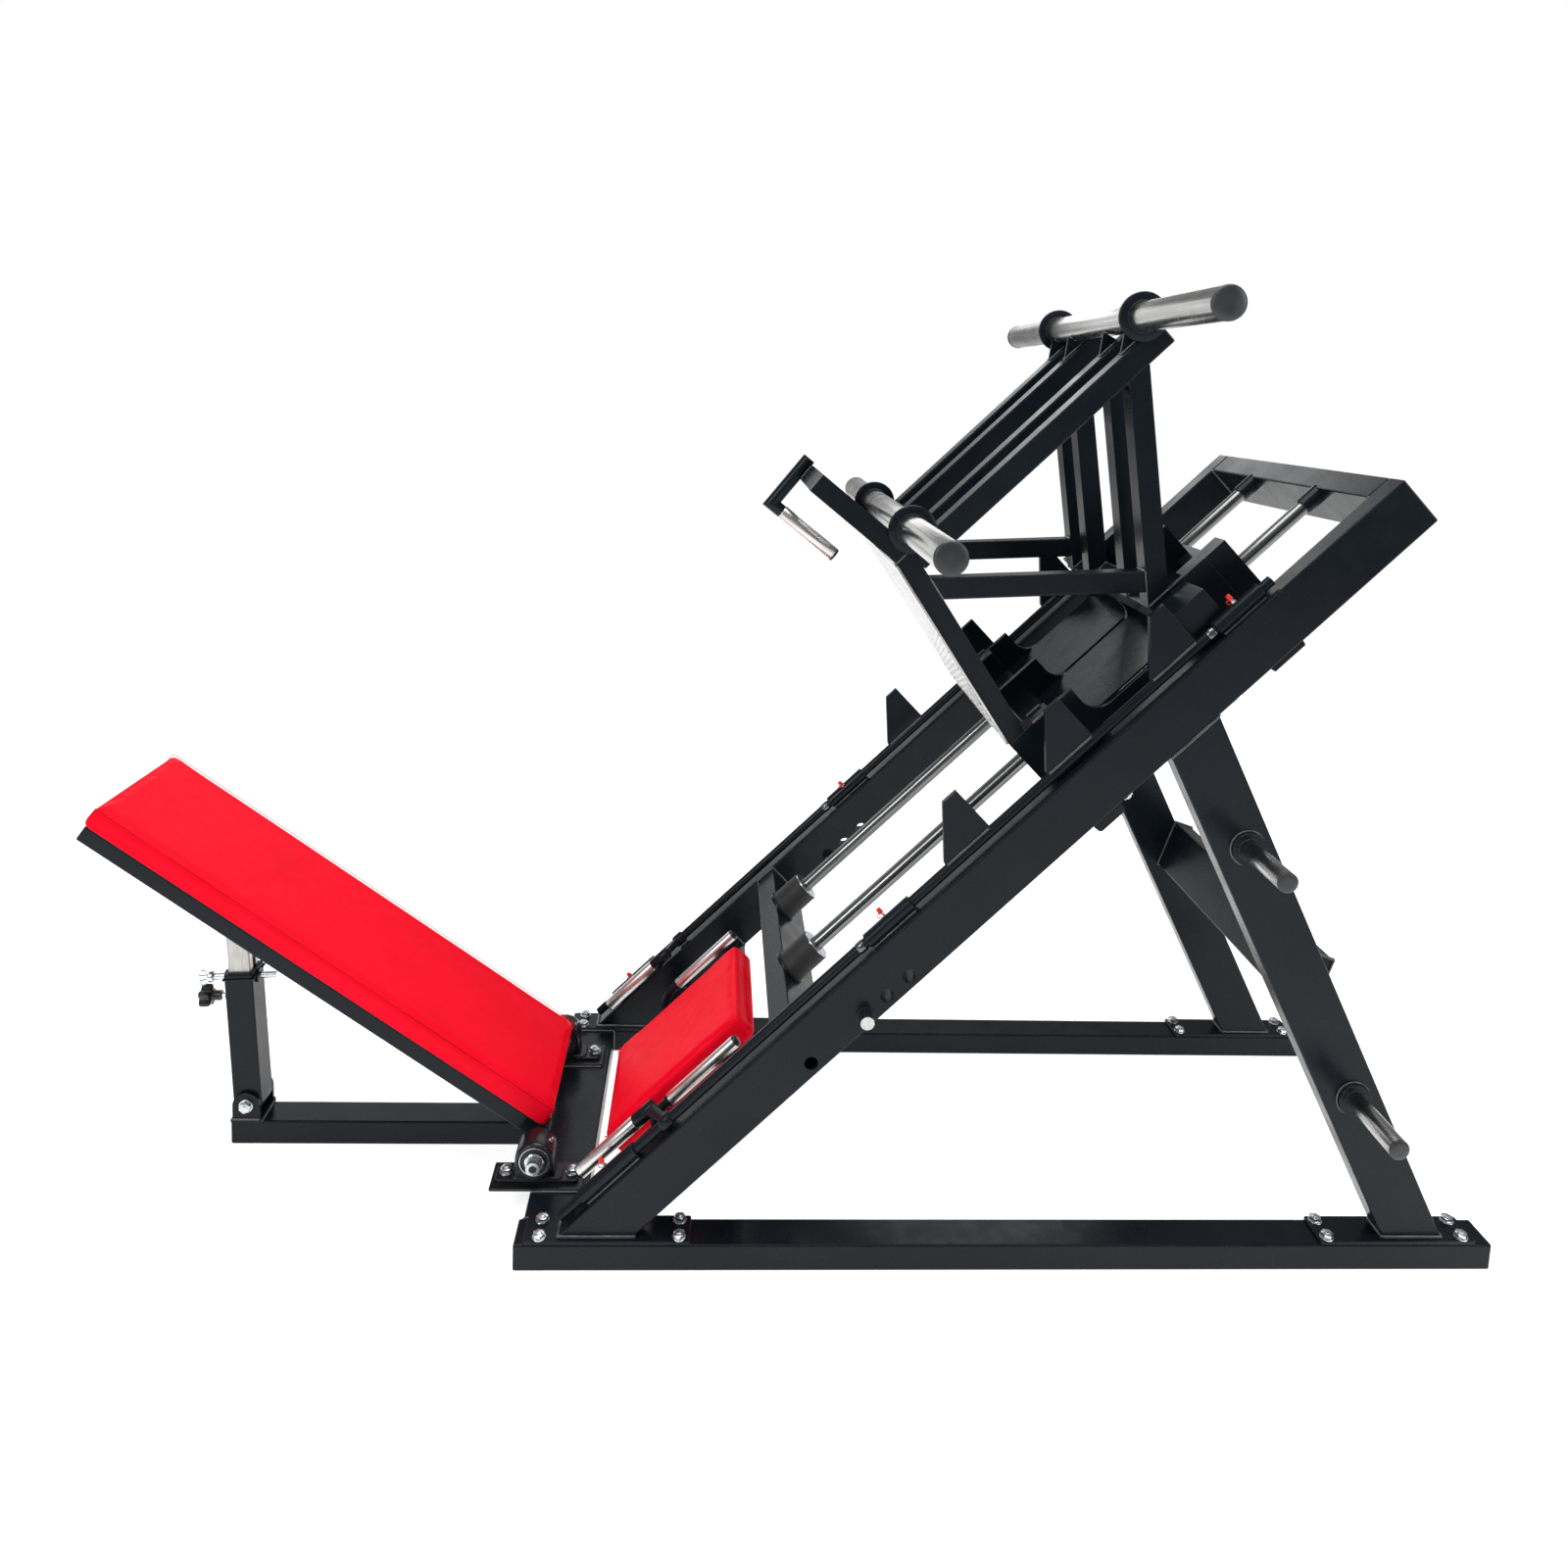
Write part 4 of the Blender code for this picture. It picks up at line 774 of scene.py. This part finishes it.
def slope_parts():
    """Pegs, bumper rings, seat grips, lock handles, shaft collars, nipples and pin bushes."""
    for tag, side in SIDES:
        out = ACROSS * side
        for place, x, z in (("upper", 0.727, 0.736), ("lower", 0.947, 0.305)):
            peg(f"peg_{place}_{tag}", f"storage_peg_{place}_{tag}", x, z, side)
        ring = bmesh.new()
        ring_band(ring, inc(0.4682, ROD_N, side * ROD_Y), SLOPE,
                  [(0.0, 0.0132), (0.0, 0.0275), (0.0010, 0.0275), (0.0016, 0.0268), (0.0016, 0.0132)], 40)
        piece(f"bumper_washer_{tag}", ring, ZINC, "frame")
        collar = bmesh.new()
        ring_band(collar, inc(0.4023, ROD_N, side * ROD_Y), SLOPE,
                  [(0.0, 0.0285), (0.0, 0.0320), (0.0050, 0.0320), (0.0062, 0.0306), (0.0062, 0.0285)], 40)
        piece(f"bumper_cup_{tag}", collar, POWDER, "frame")
        # seat grips
        y = side * 0.195
        stub = bmesh.new()
        path = [(0.058, 0.1293), (0.058, 0.148), (0.0605, 0.156), (0.067, 0.1635), (0.078, 0.170), (0.090, 0.1735),
                (0.105, 0.174), (0.118, 0.174)]
        sweep(stub, [inc(s, n, y) for s, n in path], 0.0080, 20)
        ring_band(stub, inc(0.108, 0.174, y), SLOPE, [(0.0, 0.0070), (0.0, 0.0098), (0.002, 0.0104),
                                                      (0.0070, 0.0104), (0.0070, 0.0070)], 28)
        weld(stub, circle(inc(0.058, 0.1298, y), 0.0088, 16, SLOPE, ACROSS), 0.0022, 0.004, True)
        piece(f"seat_grip_stub_{tag}", stub, POWDER, "frame", 50.0, stands_for=(f"seat_grip_{tag}",))
        bar = bmesh.new()
        lathe(bar, inc(0.1145, 0.174, y), SLOPE, rounded(0.1535, 0.0108, 0.0010), 36)
        piece(f"seat_grip_bar_{tag}", bar, GRIP, "frame")
        end = bmesh.new()
        lathe(end, inc(0.2675, 0.174, y), SLOPE, dome(0.0065, 0.0106), 32)
        piece(f"seat_grip_end_{tag}", end, KNOB, "frame")
        # lock handles
        yg, ng = side * 0.264, 0.216
        bare = bmesh.new()
        lathe(bare, inc(-0.0505, ng, yg), SLOPE, rounded(0.1285, 0.0122, 0.0010), 36)
        piece(f"lock_grip_{tag}", bare, GRIP, f"lock_{tag}", stands_for=(f"lock_handle_{tag}",))
        dark = bmesh.new()
        lathe(dark, inc(-0.0500, ng, yg), -SLOPE, rounded(0.0030, 0.0120, 0.0012), 32)
        lathe(dark, inc(0.0770, ng, yg), SLOPE, rounded(0.0435, 0.0124, 0.0016), 32)
        p0, p1 = inc(0.1110, ng, yg), inc(0.1400, SHAFT_N, side * SHAFT_Y)
        way = (p1 - p0).normalized()
        high = way.cross(SLOPE).normalized()
        broad = high.cross(way)
        arm = []
        for at in (0.004, (p1 - p0).length - 0.006):
            arm.append([dark.verts.new(p0 + way * at + broad * u + high * w) for u, w in
                        ((-0.0075, -0.0068), (0.0075, -0.0068), (0.0085, -0.0058), (0.0085, 0.0058),
                         (0.0075, 0.0068), (-0.0075, 0.0068), (-0.0085, 0.0058), (-0.0085, -0.0058))])
        skin(dark, arm)
        ring_band(dark, inc(0.1290, SHAFT_N, side * SHAFT_Y), SLOPE,
                  [(0.0, 0.0087), (0.0, 0.0115), (0.0012, 0.0125), (0.0208, 0.0125), (0.0220, 0.0115),
                   (0.0220, 0.0087)], 28)
        for end in (-1, 1):
            weld(dark, [p0 + way * 0.012 + broad * (0.0086 * end) + high * -0.006,
                        p0 + way * 0.012 + broad * (0.0086 * end) + high * 0.006], 0.0018, 0.004)
        piece(f"lock_arms_{tag}", dark, POWDER, f"lock_{tag}", 50.0)
        # shaft: bare lengths and fin welds
        bits = bmesh.new()
        for s0, s1 in ((0.566, 0.579), (1.317, 1.330)):
            ring_band(bits, inc(s0, SHAFT_N, side * SHAFT_Y), SLOPE,
                      [(0.0, 0.0086), (0.0, 0.0094), (0.0008, 0.0099), (s1 - s0 - 0.0008, 0.0099),
                       (s1 - s0, 0.0094), (s1 - s0, 0.0086)], 28)
        piece(f"shaft_collars_{tag}", bits, ROD, f"lock_{tag}")
        fins = bmesh.new()
        for top in (0.858, 1.077, 1.298):
            for y_face in (0.3074, 0.3186):
                weld(fins, [inc(top - 0.092, 0.2118, side * y_face), inc(top - 0.002, 0.2118, side * y_face)], 0.0026)
        piece(f"fin_welds_{tag}", fins, BEAD, f"lock_{tag}", 60.0)
        steel, red = bmesh.new(), bmesh.new()
        for s in (0.010, 0.632, 1.385):
            base = inc(s, SHAFT_N, side * SHAFT_Y) + NORMAL * 0.0105 - out * 0.0060
            nipple(steel, red, base, NORMAL * 0.9 - out * 0.45)
        for s in (1.054, 1.287):
            bolt_set(steel, inc(s, BEAM_N0, side * 0.313), -NORMAL, 0.0096, 0.0080, 0.2)
        piece(f"sleeve_nipples_{tag}", steel, ZINC, "frame")
        piece(f"nipple_caps_{tag}", red, RED_CAP, "frame")
        pin = bmesh.new()
        ring_band(pin, inc(0.504, 0.122, side * 0.3342), out, [(0.0, 0.0114), (0.0, 0.0150), (0.0016, 0.0150),
                                                               (0.0022, 0.0142), (0.0022, 0.0114)], 32)
        piece(f"stop_pin_bush_{tag}", pin, POWDER, "frame")


# ---------------------------------------------------------------- carriage
def horn(name, node, s, n):
    """Plate horn across the carriage: bare bar, domed caps and welded flanges."""
    centre = inc(s, n)
    bar = bmesh.new()
    lathe(bar, centre - ACROSS * 0.5405, ACROSS, rounded(1.081, 0.0240, 0.0012), 56)
    piece(f"{name}_bar", bar, HORN, "carriage", stands_for=(node,))
    caps = bmesh.new()
    flange = bmesh.new()
    for side in (-1, 1):
        lathe(caps, centre + ACROSS * (side * 0.5402), ACROSS * side, dome(0.0098, 0.0247, 10), 48)
        ring_band(flange, centre + ACROSS * (side * 0.2273), ACROSS * side,
                  [(0.0, 0.0236), (0.0, 0.0385), (0.0014, 0.0400), (0.0064, 0.0400), (0.0080, 0.0386),
                   (0.0080, 0.0236)], 56)
        for y in (0.2272, 0.2356):
            weld(flange, circle(centre + ACROSS * (side * y), 0.0246, 32), 0.0020, 0.0042, True)
    piece(f"{name}_caps", caps, CAP, "carriage", 60.0)
    piece(f"{name}_flanges", flange, POWDER, "carriage", 50.0)


def frame_corners():
    """Corners of the bent footplate frame tube."""
    points = [Vector(p) for p in ((0.5051, 0.8633), (0.2992, 1.1634), (0.1525, 1.2771))]
    a0, a1, a2 = [Vector((p.x + INCLINE_X, 0.0, p.y)) for p in points]
    low, high = (a1 - a0).normalized(), (a2 - a1).normalized()
    n1, n2 = Vector((low.z, 0.0, -low.x)), Vector((high.z, 0.0, -high.x))
    p0, p2 = a0 + n1 * 0.034, a2 + n2 * 0.034
    gap = p2 - p0
    cross = low.x * -high.z + low.z * high.x
    t = (gap.x * -high.z + gap.z * high.x) / cross
    return a0, a1, a2, p2, p0 + low * t, p0


def treads():
    """Footplate with raised lozenges on the side that the feet press."""
    a0, a1 = frame_corners()[:2]
    along = (a1 - a0).normalized()
    out = Vector((-along.z, 0.0, along.x))
    if out.x > 0:
        out = -out
    start, length = a0 + along * 0.004, (a1 - a0).length - 0.008
    middle = start + along * (length / 2)
    sheet = bmesh.new()
    flat_block(sheet, middle + out * 0.0003, along, out.cross(along), length / 2, 0.232, 0.0042, 0.003, 0.0006)
    rows, pitch = int((length - 0.016) / 0.0165), 0.0165
    columns = int(0.452 / pitch)
    for i in range(rows):
        for j in range(columns):
            at = middle + along * ((i - (rows - 1) / 2) * pitch) + ACROSS * ((j - (columns - 1) / 2) * pitch)
            lean = QUARTER if (i + j) % 2 else -QUARTER
            u = along * math.cos(lean) + ACROSS * math.sin(lean)
            v = -along * math.sin(lean) + ACROSS * math.cos(lean)
            rim = [sheet.verts.new(at + out * 0.0044 + u * (0.0088 * math.cos(a)) + v * (0.0028 * math.sin(a)))
                   for a in [math.pi / 4 * k for k in range(8)]]
            top = [sheet.verts.new(at + out * 0.0053 + u * (0.0060 * math.cos(a)) + v * (0.0014 * math.sin(a)))
                   for a in [math.pi / 4 * k for k in range(8)]]
            skin(sheet, [rim, top])
    piece("tread_plate", sheet, TREAD, "carriage", 30.0, stands_for=("footplate",))


def carriage_parts():
    """Horns, treads, handle grip, weld beads, rod seals and tube caps of the carriage."""
    horn("upper_horn", "upper_horn", 1.590, 0.6380)
    horn("lower_horn", "lower_horn", 1.090, 0.6358)
    treads()
    _, a1, a2, b2, b1, b0 = frame_corners()
    out, face = (a2 - a1).normalized(), (b2 - a2).normalized()
    p1 = a2 + out * 0.0123 - face * 0.0656
    grip = bmesh.new()
    lathe(grip, p1 - out * 0.024, -out, [(0.0, 0.0), (0.0, 0.0122), (0.0008, 0.0127), (0.1206, 0.0127),
                                         (0.1214, 0.0122), (0.1214, 0.0)], 36)
    piece("handle_grip", grip, GRIP, "carriage")
    end = bmesh.new()
    lathe(end, p1 - out * 0.1450, -out, dome(0.0052, 0.0126), 32)
    piece("handle_end", end, KNOB, "carriage")
    beads = bmesh.new()
    for end_side in (-1, 1):
        weld(beads, [a2 + out * 0.0012 + face * 0.003 + ACROSS * (0.0105 * end_side),
                     b2 + out * 0.0012 - face * 0.003 + ACROSS * (0.0105 * end_side)], 0.0026)
    for side in (-1, 1):
        for y in (0.1858, 0.2242):
            foot = inc(1.0205, 0.2545, side * y)
            weld(beads, [foot, foot + SLOPE * 0.030], 0.0030)
            weld(beads, [b1 + ACROSS * (side * y) + (b2 - b1).normalized() * 0.002,
                         a1 + ACROSS * (side * y)], 0.0016)
        for y0, y1 in ((0.186, 0.2227), (0.081, 0.119)):
            base = inc(1.2955, 0.2688, side * y0), inc(1.3335, 0.2688, side * y0)
            other = inc(1.3335, 0.2688, side * y1), inc(1.2955, 0.2688, side * y1)
            weld(beads, [*base, *other], 0.0024, closed=True)
        for y0, y1 in ((0.186, 0.224), (0.081, 0.119)):
            foot = inc(1.0700, 0.6118, side * y0), inc(1.0700, 0.6118, side * y1)
            weld(beads, foot, 0.0026)
            for y in (y0 + 0.0135, y1 - 0.0135):
                weld(beads, [inc(1.530, 0.6125, side * y), inc(1.570, 0.6125, side * y)], 0.0022)
            weld(beads, [inc(1.5670, 0.6330, side * ((y0 + y1) / 2 - 0.004)),
                         inc(1.5670, 0.6330, side * ((y0 + y1) / 2 + 0.004))], 0.0026)
        for z0, z1, x in ((1.1055, 1.1405, None), (1.1277, 1.1637, 1)):
            if x is None:
                corner = [b0 + (b1 - b0) * ((z - b0.z) / (b1.z - b0.z)) for z in (z0, z1)]
            else:
                corner = [Vector((INCLINE_X + 0.7315 - 0.0184 - 0.1655 * (z - 1.161), 0.0, z)) for z in (z0, z1)]
            weld(beads, [corner[0] + ACROSS * (side * 0.2236), corner[1] + ACROSS * (side * 0.2236)], 0.0018)
            weld(beads, [corner[1] + ACROSS * (side * 0.188), corner[1] + ACROSS * (side * 0.222)], 0.0022)
    piece("carriage_welds", beads, BEAD, "carriage", 60.0)
    seals = bmesh.new()
    for side in (-1, 1):
        for s, way in ((0.9682, -1), (1.0576, 1), (1.3680, -1), (1.4571, 1)):
            ring_band(seals, inc(s, ROD_N, side * ROD_Y), SLOPE * way,
                      [(-0.001, 0.0130), (-0.001, 0.0215), (0.0012, 0.0215), (0.0018, 0.0200), (0.0024, 0.0150),
                       (0.0024, 0.0130)], 40)
    piece("bearing_seals", seals, RUBBER, "carriage")
    caps = bmesh.new()
    for side in (-1, 1):
        for y in (0.205, 0.100):
            centre = inc(1.6069, 0.5915, side * y)
            flat_block(caps, centre, NORMAL, ACROSS, 0.0180, 0.0170, 0.0012, 0.003, 0.0004)
    piece("bar_end_caps", caps, KNOB, "carriage")


foot_plates()
pillow_blocks()
base_welds()
prop_parts()
star_knob()
slope_parts()
carriage_parts()


# ---------------------------------------------------------------- floor, light and camera
def floor():
    """Plain pale disc, which glows a little so that it reads white to its edge."""
    bm = bmesh.new()
    bmesh.ops.create_circle(bm, cap_ends=True, segments=96, radius=7.5)
    mesh = bpy.data.meshes.new("floor")
    bm.to_mesh(mesh)
    bm.free()
    mat, tree, bsdf = nodes_of("pale_floor", Specular_IOR_Level=0.1, Roughness=0.8, Emission_Strength=0.74,
                               Emission_Color=(1.0, 1.0, 1.0, 1.0))
    tone = spread(tree, noise(tree, coords(tree), 1.5), 0.0, 1.0)
    tree.links.new(mix(tree, tone, (0.90, 0.90, 0.90), (0.93, 0.93, 0.93)), bsdf.inputs["Base Color"])
    mesh.materials.append(mat)
    obj = bpy.data.objects.new("floor", mesh)
    bpy.context.scene.collection.objects.link(obj)


def lamp(name, where, target, size, power, colour=(1.0, 1.0, 1.0)):
    data = bpy.data.lights.new(name, "AREA")
    data.shape = "RECTANGLE"
    data.size, data.size_y = size
    data.energy = power
    data.color = colour
    obj = bpy.data.objects.new(name, data)
    obj.location = where
    obj.rotation_euler = (Vector(target) - Vector(where)).to_track_quat("-Z", "Y").to_euler()
    bpy.context.scene.collection.objects.link(obj)


def studio():
    """White surroundings for the camera, dimmer for the surfaces, with five soft panels."""
    world = bpy.data.worlds.new("studio")
    bpy.context.scene.world = world
    world.use_nodes = True
    tree = world.node_tree
    back = tree.nodes["Background"]
    back.inputs["Color"].default_value = (1.0, 1.0, 1.0, 1.0)
    seen = add(tree, "ShaderNodeLightPath")
    strength = spread(tree, seen.outputs["Is Camera Ray"], 0.26, 1.0, 0.0, 1.0)
    tree.links.new(strength, back.inputs["Strength"])
    lamp("overhead", (0.2, -0.3, 3.6), (0.1, 0.0, 0.5), (2.6, 1.8), 80.0)
    lamp("left_key", (-2.8, -2.2, 2.6), (0.0, 0.0, 0.6), (1.0, 1.8), 46.0)
    lamp("right_fill", (2.9, -1.6, 2.2), (0.2, 0.0, 0.6), (0.7, 1.8), 30.0)
    lamp("rear_rim", (0.6, 3.0, 2.6), (0.1, 0.0, 0.7), (2.4, 0.8), 14.0)
    lamp("rear_panel", (-2.2, 3.6, 1.9), (0.1, 0.0, 0.7), (3.4, 2.6), 28.0)
    bpy.context.scene.view_settings.view_transform = "Standard"
    bpy.context.scene.view_settings.look = "None"


def camera():
    """Camera at the height and heading from which the machine is shown."""
    data = bpy.data.cameras.new("view")
    data.lens = 26.4375
    data.sensor_width = 36.0
    data.shift_x, data.shift_y = 0.00454, -0.16014
    data.dof.use_dof = False
    right = Vector((0.99794535, -0.05009321, 0.03994675))
    up = Vector((-0.03334928, 0.12624442, 0.99143844))
    ahead = Vector((0.05470738, 0.99073358, -0.12431446))
    obj = bpy.data.objects.new("view", data)
    obj.matrix_world = Matrix.Translation((-0.147, -2.0672, 1.4384)) @ Matrix((right, up, -ahead)).transposed().to_4x4()
    bpy.context.scene.collection.objects.link(obj)
    bpy.context.scene.camera = obj


floor()
studio()
camera()
